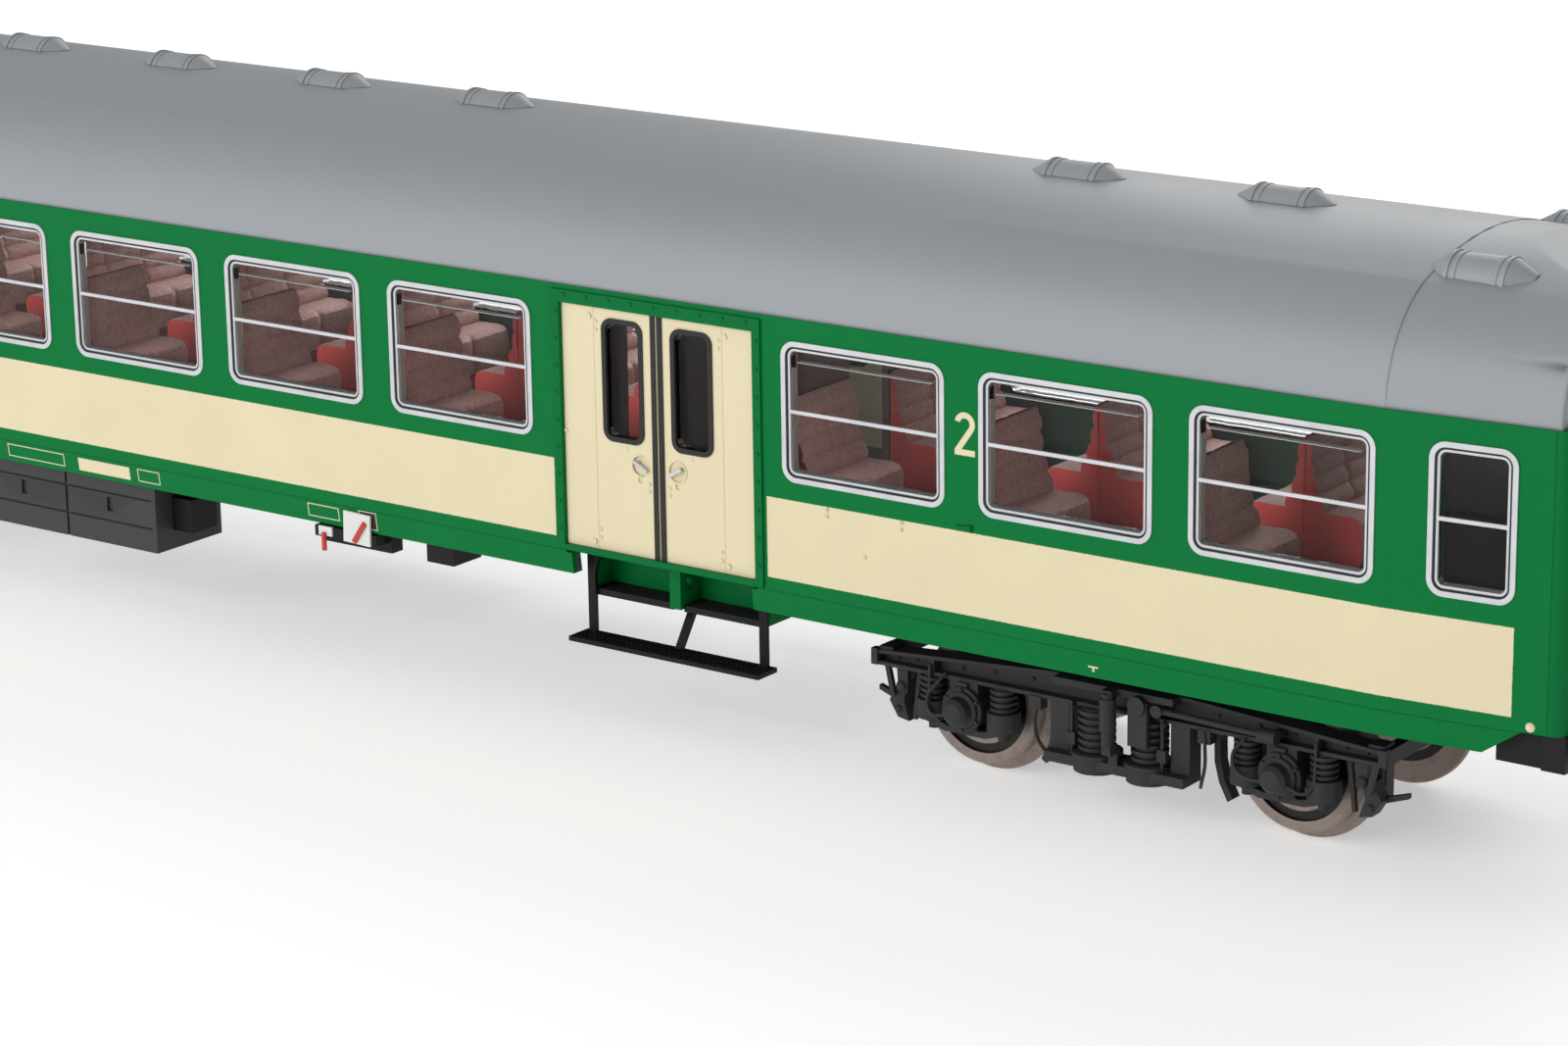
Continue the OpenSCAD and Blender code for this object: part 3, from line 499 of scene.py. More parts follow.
class Tone(Enum):
    """The finishes of the coach, each built once when it is first asked for."""

    LIVERY = Livery("paint_livery", (0.0008, 0.165, 0.038), 0.42, shine=0.08)
    GREEN = Satin("paint_green", (0.0008, 0.15, 0.035), 0.42, shine=0.08)
    CREAM = Satin("paint_cream", (0.75, 0.66, 0.44), 0.42, clouds=0.03, shine=0.25)
    ROOF = Satin("paint_roof", (0.31, 0.33, 0.35), 0.42, clouds=0.03, grain=0.004, edge=0.6,
                 shine=0.35)
    VENT = Satin("paint_vent", (0.33, 0.35, 0.37), 0.42, clouds=0.03, grain=0.004, shine=0.35)
    SILVER = SilverPrint("print_silver")
    SILVER_THIN = SilverPrint("print_silver_thin", (0.62, 0.63, 0.65), 0.2, 0.3)
    SEAL = Satin("seal_black", (0.006, 0.005, 0.005), 0.3, dust=0.1, shine=0.25)
    PANE = ClearPane("pane_clear")
    # Painted highlight: pale colour of the sheets that stand in for the bright edges of the clear window
    # moulding.
    PANE_EDGE = Satin("painted_pane_highlight", (0.42, 0.40, 0.37), 0.3, clouds=0.2)
    # These three finishes carry a painted highlight on their raised edges besides their dust.
    BLACK = DustAndEdgeHighlight("moulded_black", (0.005, 0.005, 0.0055), 0.44, shine=0.18)
    BOGIE = DustAndEdgeHighlight("bogie_black", (0.005, 0.005, 0.0055), 0.40, grain=0.01, dust_and_highlight=0.12, shine=0.18)
    GREY_BOX = DustAndEdgeHighlight("box_grey", (0.032, 0.032, 0.033), 0.5, dust_and_highlight=0.3, shine=0.3)
    RUBBER = Satin("gangway_rubber", (0.012, 0.012, 0.013), 0.6, grain=0.02)
    DOOR_GREY = Satin("gangway_grey", (0.42, 0.43, 0.44), 0.45)
    LAMP = Satin("lamp_red", (0.42, 0.012, 0.01), 0.15, dust=0.1)
    STEEL = TurnedMetal("steel_plain", (0.42, 0.42, 0.43), (0.0, 0.0))
    COUPLER = TurnedMetal("steel_blackened", (0.10, 0.10, 0.11), (0.0, 0.0), 0.7, 0.42)
    FLOOR = Satin("deck_green", (0.10, 0.14, 0.11), 0.6)
    WALL = Satin("partition_brown", (0.13, 0.06, 0.056), 0.5)
    SEAT_SIDE = Satin("seat_side", (0.62, 0.06, 0.05), 0.42, dust=0.03)
    SEAT_FACE = GrainedSeat("seat_face", (0.60, 0.33, 0.30))
    WHITE = Satin("plate_white", (0.72, 0.73, 0.71), 0.45)
    RED = Satin("lever_red", (0.55, 0.02, 0.015), 0.4)

    def material(self) -> bpy.types.Material:
        """The finish's material."""
        found = bpy.data.materials.get(self.value.name)
        return found or self.value.build()


# ---- mesh making ---------------------------------------------------------


@dataclass
class Shape:
    """One mesh in the making, in millimetres of the coach's frame."""

    mesh: bmesh.types.BMesh = field(default_factory=bmesh.new)

    def face(self, points: Sequence[Point], slot: int = 0) -> None:
        """Adds one face of its own corners."""
        made = self.mesh.faces.new([self.mesh.verts.new(p) for p in points])
        made.material_index = slot

    def prism(self, outline: Sequence[Flat], place: Callable[[float, float, float], Point],
              low: float, high: float) -> None:
        """Adds a closed solid with a flat outline.

        Args:
            outline: the outline's corners.
            place: turns outline coordinates and a depth into a point.
            low: depth of one face.
            high: depth of the other face.
        """
        ends = [[self.mesh.verts.new(place(u, v, d)) for u, v in outline] for d in (low, high)]
        self.mesh.faces.new(ends[0][::-1])
        self.mesh.faces.new(ends[1])
        count = len(outline)
        for i in range(count):
            j = (i + 1) % count
            self.mesh.faces.new((ends[0][i], ends[0][j], ends[1][j], ends[1][i]))

    def block(self, low: Point, high: Point) -> None:
        """Adds a box between two corners."""
        outline = [(low[0], low[1]), (high[0], low[1]), (high[0], high[1]), (low[0], high[1])]
        self.prism(outline, lambda u, v, d: (u, v, d), low[2], high[2])

    def dome(self, at: Point, out: Point, radius: float, rise: float, sides: int = 12) -> None:
        """Adds a low round knob.

        Args:
            at: the middle of its foot.
            out: unit direction it stands out in.
            radius: radius of its foot.
            rise: how far it stands out.
            sides: corners round the foot.
        """
        up = Vector(out)
        side = up.orthogonal().normalized()
        other = up.cross(side)
        rows = []
        for share in (0.0, 0.45, 0.8):
            r, h = radius * math.sqrt(1 - share * share), rise * share
            rows.append([
                self.mesh.verts.new(Vector(at) + up * h + (side * math.cos(a) + other * math.sin(a)) * r)
                for a in (2 * math.pi * i / sides for i in range(sides))
            ])
        top = self.mesh.verts.new(Vector(at) + up * rise)
        self.mesh.faces.new(rows[0][::-1])
        for below, above in zip(rows, rows[1:]):
            for i in range(sides):
                j = (i + 1) % sides
                self.mesh.faces.new((below[i], below[j], above[j], above[i]))
        for i in range(sides):
            self.mesh.faces.new((rows[-1][i], rows[-1][(i + 1) % sides], top))

    def half_turned(self) -> None:
        """Adds a copy turned half a turn about the upright axis."""
        self._copied(Matrix.Rotation(math.pi, 4, "Z"), False)

    def mirrored(self, axis: int) -> None:
        """Adds a mirrored copy on the other side of that axis' zero."""
        scale = Matrix.Identity(4)
        scale[axis][axis] = -1.0
        self._copied(scale, True)

    def _copied(self, turn: Matrix, flipped: bool) -> None:
        """Adds a transformed copy of all that is there."""
        made = bmesh.ops.duplicate(self.mesh, geom=[*self.mesh.verts, *self.mesh.edges,
                                                   *self.mesh.faces])["geom"]
        verts = [g for g in made if isinstance(g, bmesh.types.BMVert)]
        bmesh.ops.transform(self.mesh, matrix=turn, verts=verts)
        if flipped:
            faces = [g for g in made if isinstance(g, bmesh.types.BMFace)]
            bmesh.ops.reverse_faces(self.mesh, faces=faces)

    def moved(self, turn: Matrix) -> None:
        """Transforms all that is there."""
        bmesh.ops.transform(self.mesh, matrix=turn, verts=self.mesh.verts)

    def finish(self, name: str, tones: Sequence[Tone], body: str, slot: str,
               smooth: float = 40.0) -> bpy.types.Object:
        """Makes the piece.

        Args:
            name: the piece's name.
            tones: the finishes of its material slots.
            body: the body it rides on.
            slot: a material slot name; not used.
            smooth: edges flatter than this many degrees shade smooth.

        Returns:
            The piece.
        """
        bmesh.ops.recalc_face_normals(self.mesh, faces=self.mesh.faces)
        bmesh.ops.scale(self.mesh, vec=(MM, MM, MM), verts=self.mesh.verts)
        data = bpy.data.meshes.new(name)
        self.mesh.to_mesh(data)
        self.mesh.free()
        for tone in tones:
            data.materials.append(tone.material())
        data.shade_smooth()
        data.set_sharp_from_angle(angle=math.radians(smooth))
        return placed(bpy.data.objects.new(name, data), body)


def placed(piece: bpy.types.Object, body: str) -> bpy.types.Object:
    """Puts a piece in the scene on its body and logs it."""
    bpy.context.scene.collection.objects.link(piece)
    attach(piece, body)
    LOG.info("made %s on %s", piece.name, body)
    return piece


def hose(name: str, runs: Iterable[Sequence[Point]], radius: float, tone: Tone, body: str) -> bpy.types.Object:
    """Makes hoses or rods as round curves.

    Args:
        name: the piece's name.
        runs: the points of each run, in millimetres.
        radius: radius of the hose.
        tone: its finish.
        body: the body it rides on.

    Returns:
        The piece, as a mesh.
    """
    curve = bpy.data.curves.new(name, "CURVE")
    curve.dimensions = "3D"
    curve.bevel_depth = radius * MM
    curve.bevel_resolution = 3
    curve.use_fill_caps = True
    curve.resolution_u = 6
    for points in runs:
        line = curve.splines.new("BEZIER")
        line.bezier_points.add(len(points) - 1)
        for knot, point in zip(line.bezier_points, points):
            knot.co = Vector(point) * MM
            knot.handle_left_type = knot.handle_right_type = "AUTO"
    holder = bpy.data.objects.new(name + "_line", curve)
    bpy.context.scene.collection.objects.link(holder)
    bpy.context.view_layer.update()
    graph = bpy.context.evaluated_depsgraph_get()
    data = bpy.data.meshes.new_from_object(holder.evaluated_get(graph))
    bpy.data.objects.remove(holder)
    data.name = name
    data.materials.clear()
    data.materials.append(tone.material())
    data.shade_smooth()
    return placed(bpy.data.objects.new(name, data), body)


# ---- the coach's sub-assemblies ------------------------------------------


@dataclass
class Bodyshell:
    """The painted body: its walls, roof, gangways and everything fixed under the floor."""

    tones: dict[str, Tone] = field(default_factory=lambda: {
        "side_left": Tone.LIVERY, "side_right": Tone.LIVERY, "end_walls": Tone.GREEN,
        "door_frames": Tone.GREEN, "step_wells": Tone.GREEN, "roof": Tone.ROOF,
        "roof_vents": Tone.VENT, "window_frames": Tone.SILVER, "window_gaskets": Tone.SEAL,
        "window_inner_frames": Tone.SILVER_THIN, "glazing": Tone.PANE,
        "door_leaves": Tone.CREAM, "door_rubbers": Tone.SEAL, "door_handles": Tone.SILVER,
        "inner_steps": Tone.BLACK, "lower_steps": Tone.BLACK, "floor_pan": Tone.BLACK,
        "floor_beams": Tone.BLACK, "pivot_bosses": Tone.BLACK, "ballast_plate": Tone.STEEL,
        "interior_floor": Tone.FLOOR, "partitions": Tone.WALL, "headstocks": Tone.BLACK,
        "buffer_housings": Tone.BLACK, "buffer_heads": Tone.BOGIE,
        "gangway_rubbers": Tone.RUBBER, "gangway_doors": Tone.DOOR_GREY,
        "tail_lamps": Tone.LAMP, "battery_boxes": Tone.GREY_BOX,
        "equipment_boxes": Tone.BLACK, "air_tanks": Tone.BLACK, "brake_panels": Tone.BLACK,
        "brake_levers": Tone.RED, "brake_plates": Tone.WHITE, "pipes": Tone.BLACK,
        "pivot_pins": Tone.STEEL,
    })

    def dress(self) -> None:
        """Gives each carried-over part of the body its finish."""
        for node, tone in self.tones.items():
            dress(node, tone.material())
        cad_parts["glazing"].visible_shadow = False


def dress(node: str, material: bpy.types.Material) -> None:
    """Puts one material on a carried-over part."""
    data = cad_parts[node].data
    data.materials.clear()
    data.materials.append(material)
    LOG.info("dressed %s in %s", node, material.name)


@dataclass
class Seats:
    """Rows of back to back moulded seats on both sides of the aisle."""

    pitch: float = 18.6
    first_end: float = 78.075
    inner_end: float = -44.6
    outer_end: float = 69.675
    deck: float = 17.5
    plinth: float = 2.2
    cushion: float = 23.5
    reach: float = 5.2
    ribs: int = 4
    rib_depth: float = 0.28
    seat_gap: float = 0.16

    def back_line(self, top: float) -> list[Flat]:
        """The ribbed line of one seat back.

        Args:
            top: height of the seat back.

        Returns:
            Points of half thickness and height, from the cushion up.
        """
        low, line = self.cushion, []
        steps = self.ribs * 6
        for i in range(steps + 1):
            v = i / steps
            z = low + (top - 0.5 - low) * v
            base = 1.72 * (1 - v) + 0.42 * v - 0.35 * math.sin(math.pi * v)
            phase = (v * self.ribs) % 1.0 if i < steps else 0.0
            line.append((base + self.rib_depth * math.sin(math.pi * phase) ** 0.6, z))
        return line + [(0.34, top - 0.22), (0.16, top)]

    def outline(self, top: float) -> list[Flat]:
        """The front half of a seat's side view, from the deck to the top of the back."""
        r, c, d = self.reach, self.cushion, self.deck
        front = [(0.0, d), (r - 1, d), (r - 1, d + self.plinth), (r - 0.3, d + self.plinth),
                 (r, d + self.plinth + 0.3), (r, c - 0.9), (r - 0.12, c - 0.4), (r - 0.5, c - 0.1),
                 (r - 1.2, c + 0.05), (r - 2.2, c)]
        return front + self.back_line(top)

    def bank(self, shape: Shape, y0: float, y1: float, top: float, x: float, seats: int,
             sides: tuple[int, ...]) -> None:
        """Adds one seat unit.

        Args:
            shape: the mesh it is added to.
            y0: one end across the coach.
            y1: the other end.
            top: height of the back.
            x: middle of the unit along the coach.
            seats: places side by side.
            sides: which ways it faces along the coach, as signs.
        """
        width = (y1 - y0) / seats
        half = self.outline(top)
        for sign in sides:
            stations: list[tuple[float, float]] = []
            for k in range(seats):
                a, b = y0 + k * width, y0 + (k + 1) * width
                stations += [(a, 0.0 if k == 0 else -1.0), (a + 0.22, 0.7), (a + 0.7, 1.0),
                             ((a + b) / 2, 1.12), (b - 0.7, 1.0), (b - 0.22, 0.7)]
            stations.append((y1, 0.0))
            rows = []
            for y, swell in stations:
                row = []
                for u, z in half:
                    soft = 0.0 if u < 1e-6 or z <= self.deck + self.plinth else 1.0
                    out = u + soft * (0.10 * swell - 0.10)
                    row.append(shape.mesh.verts.new((x + sign * max(out, 0.0), y, z)))
                rows.append(row)
            count = len(half)
            for first, second in zip(rows, rows[1:]):
                for i in range(count - 1):
                    made = shape.mesh.faces.new((first[i], first[i + 1], second[i + 1], second[i]))
                    made.material_index = 1 if half[i][1] > self.deck + self.plinth else 0
                shape.mesh.faces.new((first[-1], first[0], second[0], second[-1]))
            shape.mesh.faces.new(rows[0])
            shape.mesh.faces.new(rows[-1][::-1])

    def build(self, node: str, seats: int, shift: float) -> bpy.types.Object:
        """Builds all the seats on one side of the aisle.

        Args:
            node: the plain part that they stand for.
            seats: places side by side.
            shift: offset along the coach.

        Returns:
            The piece.
        """
        low, high = (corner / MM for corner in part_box(node))
        y0, y1, top = low.y, high.y, high.z
        shape = Shape()
        both = (-1, 1)
        places = [((i - 1.5) * self.pitch + shift, both) for i in range(4)]
        places += [(s * (self.first_end + (i + 0.5) * self.pitch) + shift, both)
                   for s in both for i in range(2)]
        places += [(self.inner_end, (1,)), (-self.inner_end, (-1,)),
                   (self.outer_end, (1,)), (-self.outer_end, (-1,))]
        for x, sides in places:
            self.bank(shape, y0, y1, top, x, seats, sides)
        piece = shape.finish("moulded_" + node, (Tone.SEAT_SIDE, Tone.SEAT_FACE), "coach_body",
                             "seat_red", 35.0)
        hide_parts(node)
        return piece


@dataclass
class SideTrim:
    """Small raised and printed things on the outer skin of the body sides."""

    skin: float = 16.55
    crease: float = 14.5
    skirt: float = 12.5
    lean: float = 0.25
    print_t: float = 0.02
    numeral_x: float = 86.72
    numeral_z: float = 28.32
    numeral_r: float = 0.93
    numeral_h: float = 3.42
    stroke: float = 0.48
    door_x: float = 57.8
    window_z: float = 28.6
    window_run: Flat = (78.075, 18.6)
    pane: Flat = (6.88, 4.88)

    def skin_y(self, z: float) -> float:
        """How far out the skin lies at a height."""
        share = max(0.0, (self.crease - z) / (self.crease - self.skirt))
        return self.skin - self.lean * share

    def on_near(self, x: float, z: float, out: float) -> Point:
        """A point that stands out of the near side's skin."""
        return (x, -self.skin_y(z) - out, z)

    def numeral_outline(self) -> list[Flat]:
        """The outline of a plain numeral two, from its lower left corner."""
        big, small = self.numeral_r, self.numeral_r - self.stroke
        centre = (big, self.numeral_h - big)
        outer = [math.radians(168 - 10.3 * i) for i in range(21)]
        arc = [(centre[0] + big * math.cos(a), centre[1] + big * math.sin(a)) for a in outer]
        back = [(centre[0] + small * math.cos(a), centre[1] + small * math.sin(a))
                for a in reversed(outer)]
        foot = [(0.68 * big, self.stroke), (2 * big, self.stroke), (2 * big, 0.0), (0.0, 0.0),
                (0.0, self.stroke * 0.92)]
        return arc + foot + back

    def numerals(self) -> bpy.types.Object:
        """Prints the class numeral between the windows, upright on both sides."""
        shape = Shape()
        for x in (self.numeral_x, -self.numeral_x - 2 * self.numeral_r):
            shape.prism(self.numeral_outline(),
                        lambda u, v, d, x=x: self.on_near(x + u, self.numeral_z + v, d),
                        -0.005, self.print_t)
        shape.half_turned()
        return shape.finish("class_numerals", (Tone.CREAM,), "coach_body", "door_cream")

    def plate(self, shape: Shape, x0: float, x1: float, z0: float, z1: float,
              out: float = 0.0) -> None:
        """Adds a thin printed rectangle on the near skirt."""
        corners = [(x0, z0), (x1, z0), (x1, z1), (x0, z1)]
        shape.prism(corners, lambda u, v, d: self.on_near(u, v, d), out - 0.005,
                    out + self.print_t)

    def ring(self, shape: Shape, x0: float, x1: float, z0: float, z1: float, line: float,
             out: float = 0.0) -> None:
        """Adds a thin printed outline on the near skirt."""
        self.plate(shape, x0, x1, z0, z0 + line, out)
        self.plate(shape, x0, x1, z1 - line, z1, out)
        self.plate(shape, x0, x0 + line, z0 + line, z1 - line, out)
        self.plate(shape, x1 - line, x1, z0 + line, z1 - line, out)

    def skirt_prints(self) -> None:
        """Prints blank data panels, a black square and the lifting marks on the skirts."""
        cream, black = Shape(), Shape()
        self.plate(cream, -8.6, -2.2, 12.95, 14.15)
        for x0, x1 in ((-17.6, -10.4), (-1.2, 1.5), (19.2, 22.8)):
            self.ring(cream, x0, x1, 13.0, 14.2, 0.09)
        self.plate(black, 25.15, 27.05, 12.85, 14.35)
        self.ring(cream, 25.1, 27.1, 12.8, 14.4, 0.08, 0.012)
        for x in (99.2, -99.2):
            self.plate(cream, x - 0.44, x + 0.44, 13.3, 13.44)
            self.plate(cream, x - 0.09, x + 0.09, 12.98, 13.3)
        for shape, name, tone, slot in ((cream, "skirt_panels", Tone.CREAM, "door_cream"),
                                        (black, "skirt_squares", Tone.SEAL, "seal_black")):
            shape.half_turned()
            shape.finish(name, (tone,), "coach_body", slot)

    def knobs(self) -> None:
        """Adds the small hooks, lamp brackets and end knobs on the bands."""
        cream, green = Shape(), Shape()
        out = (0.0, -1.0, 0.0)
        for x, z in ((74.6, 22.0), (74.6, 21.45), (81.7, 22.1), (81.7, 21.5), (78.2, 18.7)):
            cream.dome(self.on_near(x, z, -0.02), out, 0.2, 0.26)
        cream.dome((135.37, -15.67, 15.07), (0.074, -0.997, 0.0), 0.38, 0.22, 16)
        green.block((86.8, -self.skin - 0.18, 22.5), (88.2, -self.skin + 0.02, 22.72))
        green.block((87.9, -self.skin - 0.26, 22.4), (88.3, -self.skin + 0.02, 22.85))
        green.dome((88.1, -self.skin - 0.2, 22.62), out, 0.14, 0.1)
        for shape, name, tone, slot in ((cream, "band_hooks", Tone.CREAM, "door_cream"),
                                        (green, "flag_brackets", Tone.GREEN, "body_green")):
            shape.mirrored(0)
            shape.mirrored(1)
            shape.finish(name, (tone,), "coach_body", slot)

    def door_details(self) -> None:
        """Adds hinge knobs, lock bosses, handle guards and lower catches on the door leaves."""
        shape = Shape()
        leaf, fold = self.skin - 0.2, 6.5
        out = (0.0, -1.0, 0.0)
        for side in (-1, 1):
            x = self.door_x + side * (fold - 0.28)
            for z in (34.3, 33.6, 16.8, 16.1):
                shape.dome((x, -leaf + 0.02, z), out, 0.2, 0.16)
            shape.dome((self.door_x + side * 3.3, -leaf + 0.02, 24.0), out, 0.26, 0.1)
            for z in (21.35, 20.75):
                shape.dome((self.door_x + side * 1.05, -leaf + 0.02, z), out, 0.21, 0.16)
            self.guard(shape, self.door_x + side * 1.9, 22.8, leaf, side)
            edge = self.door_x + side * (fold + 3.05)
            shape.block((edge - 0.16, -leaf - 0.1, 24.6), (edge + 0.16, -leaf + 0.02, 24.86))
            seam = self.door_x + side * (fold - 0.01)
            shape.block((seam - 0.07, -leaf - 0.03, 15.15), (seam + 0.07, -leaf + 0.02, 35.45))
        shape.mirrored(0)
        shape.mirrored(1)
        shape.finish("door_fittings", (Tone.CREAM,), "coach_body", "door_cream")

    def guard(self, shape: Shape, x: float, z: float, leaf: float, side: int) -> None:
        """Adds the raised rim behind a door handle."""
        steps = 14
        for i in range(steps):
            a, b = (math.radians(200 * (i + k) / steps + 80) for k in (0, 1))
            points = [(r, t) for r, t in ((0.82, a), (0.82, b), (0.96, b), (0.96, a))]
            outline = [(x - side * r * math.cos(t), z + r * math.sin(t)) for r, t in points]
            shape.prism(outline, lambda u, v, d: (u, d, v), -leaf - 0.07, -leaf + 0.02)

    def treads(self) -> None:
        """Adds the raised pips on the steps and the small lamps in the step wells."""
        pips, lamps = Shape(), Shape()
        up = (0.0, 0.0, 1.0)
        for i in range(-19, 20):
            for j, y in enumerate((14.3, 15.25, 16.1)):
                x = self.door_x + 0.49 * i + 0.245 * (j % 2)
                if abs(x - self.door_x) < 9.6:
                    pips.dome((x, -y, 7.09), up, 0.14, 0.09, 6)
        for i in range(18):
            for j in range(4):
                for side in (-1, 1):
                    x = self.door_x + side * (0.85 + 0.45 * i)
                    pips.dome((x, -12.33 - 0.45 * j, 10.84), up, 0.13, 0.08, 6)
        for side in (-1, 1):
            lamps.dome((self.door_x + side * 0.54, -13.4, 12.9), (side, 0.0, 0.0), 0.45, 0.3, 14)
        for shape, name, tone, slot in ((pips, "tread_pips", Tone.BLACK, "step_black"),
                                        (lamps, "well_lamps", Tone.GREEN, "body_green")):
            shape.mirrored(0)
            shape.mirrored(1)
            shape.finish(name, (tone,), "coach_body", slot)

    def painted_pane_highlights(self) -> None:
        """Adds pale sheets inside the clear moulding behind each large window: a painted highlight standing in
        for the bright edges of the clear plastic.
        """
        shape = Shape()
        half_w, half_h = self.pane
        front, back, t, corner = self.skin - 0.24, self.skin - 1.08, 0.03, 0.5
        first, pitch = self.window_run
        places = [i * pitch for i in range(-2, 3)]
        places += [s * (first + i * pitch) for s in (-1, 1) for i in range(3)]
        for x in places:
            for side in (-1, 1):
                at, level = x + side * half_w, self.window_z + side * half_h
                shape.block((at - t, -front, self.window_z - half_h + corner),
                            (at + t, -back, self.window_z + half_h - corner))
                shape.block((x - half_w + corner, -front, level - t),
                            (x + half_w - corner, -back, level + t))
        shape.mirrored(1)
        shape.finish("painted_pane_highlights", (Tone.PANE_EDGE,), "coach_body", "clear_pane")

    def build(self) -> None:
        """Builds all of it."""
        self.painted_pane_highlights()
        self.treads()
        self.numerals()
        self.skirt_prints()
        self.knobs()
        self.door_details()


@dataclass
class Bogie:
    """One bogie: its moulded frame, its hoses and rods, and two wheelsets."""

    end: str
    sign: int
    pivot: float = 98.85
    axle: float = 14.37
    wheel_z: float = 6.19
    face_y: float = 12.1
    recess: float = 0.9
    hose_r: float = 0.15
    wheel_colour: Rgb = (0.27, 0.215, 0.185)
    groove: Flat = (3.55, 4.35)

    def dress(self) -> None:
        """Gives the carried-over parts their finishes."""
        for part in ("bogie_frame", "bogie_springs", "axlebox_covers", "dampers", "brakes"):
            dress(f"{self.end}_{part}", Tone.BOGIE.material())
        for place, turn in (("outer", 1), ("inner", -1)):
            x = self.sign * (self.pivot + turn * self.axle)
            name = f"{self.end}_{place}"
            dress(name + "_wheels", TurnedMetal("turned_" + name, self.wheel_colour,
                                                (x, self.wheel_z), metallic=0.55,
                                                groove=self.groove).build())
            dress(name + "_axle", TurnedMetal("axle_" + name, (0.3, 0.3, 0.31),
                                              (x, self.wheel_z)).build())

    def turned(self, points: Iterable[Point], side: int) -> list[Point]:
        """Moves points drawn about the bogie's middle, near side, to their real place.

        Args:
            points: points with y counted outwards.
            side: -1 on the near side and 1 on the far side.

        Returns:
            Points in the coach's frame.
        """
        return [(self.sign * (self.pivot + x), side * y, z) for x, y, z in points]

    def hoses(self) -> None:
        """Adds the air hoses that hang in bows from the side frames."""
        a, z, y = self.axle, self.wheel_z, self.face_y
        bows = [
            [(-a - 1.6, y + 0.2, z + 2.7), (-a - 2.1, y + 0.7, z + 1.9), (-a - 2.9, y + 0.9, z + 0.6),
             (-a - 2.4, y + 1.1, z - 0.5), (-a - 1.2, y + 1.2, z - 0.4), (-a - 0.2, y + 1.3, z - 0.1)],
            [(a - 3.1, y + 0.2, z + 2.3), (a - 3.8, y + 0.7, z + 1.2), (a - 3.4, y + 1.0, z + 0.1),
             (a - 1.7, y + 1.2, z - 0.4), (a - 0.2, y + 1.3, z - 0.1)],
            [(a + 0.3, y + 1.3, z - 0.1), (a + 1.3, y + 1.1, z - 0.5), (a + 2.4, y + 0.9, z - 0.8),
             (a + 3.0, y + 0.6, z - 0.2), (a + 3.05, y + 0.3, z + 1.4), (a + 3.05, y + 0.25, z + 3.2)],
            [(-a - 3.05, y + 0.25, z + 3.2), (-a - 3.05, y + 0.3, z + 0.8),
             (-a - 2.7, y + 0.6, z - 0.6), (-a - 1.8, y + 0.7, z - 1.2)],
            [(7.7, y + 0.1, 8.3), (7.8, y + 0.2, 7.2), (7.75, y + 0.1, 5.6), (7.4, y, 4.1),
             (7.0, y - 0.6, 3.6)],
            [(-7.7, y - 0.4, 7.7), (-8.0, y - 0.5, 6.4), (-7.9, y - 0.6, 4.9),
             (-7.2, y - 0.9, 3.6)],
        ]
        runs = [self.turned(bow, side) for side in (-1, 1) for bow in bows]
        hose(f"{self.end}_hoses", runs, self.hose_r, Tone.BOGIE, f"{self.end}_bogie")

    def fittings(self) -> None:
        """Adds hangers, brake shoes, bolts and ribs on the side frames."""
        shape = Shape()
        a, z, y = self.axle, self.wheel_z, self.face_y
        web, out = y - self.recess, (0, 1, 0)
        for end in (-1, 1):
            self.hanger(shape, end)
            self.inner_shoe(shape, end)
            for x, height in ((19.4, 9.1), (21.2, 9.0), (15.0, 9.2), (12.0, 9.4), (8.4, 9.5)):
                shape.dome((end * x, web - 0.02, height), out, 0.2, 0.22, 8)
            for x in (a - 3.3, a + 3.3):
                shape.dome((end * x, y - 0.02, 5.6), out, 0.22, 0.2, 8)
            shape.block((end * a - 0.45, y - 0.3, z + 1.9), (end * a + 0.45, y + 0.3, z + 2.2))
            shape.block((end * 22.9 - 0.3, y - 0.5, 8.4), (end * 22.9 + 0.3, y + 0.15, 9.75))
            shape.block((end * 22.1 - 0.5, y - 1.8, 9.6), (end * 22.1 + 0.8, y - 0.2, 9.95))
            shape.block((end * 4.1 - 0.12, y + 0.1, 4.5), (end * 4.1 + 0.12, y + 0.4, 8.8))
            shape.block((end * 4.1 - 0.4, y + 0.1, 5.3), (end * 4.1 + 0.4, y + 0.5, 6.3))
            shape.dome((end * 4.1, y + 0.1, 8.3), out, 0.3, 0.45, 8)
            shape.block((end * 7.65 - 0.55, web, 7.4), (end * 7.65 + 0.55, y + 0.1, 8.45))
        shape.moved(Matrix.Translation((self.pivot, 0, 0)))
        shape.mirrored(1)
        if self.sign < 0:
            shape.moved(Matrix.Rotation(math.pi, 4, "Z"))
        shape.finish(f"{self.end}_fittings", (Tone.BOGIE,), f"{self.end}_bogie", "bogie_black")

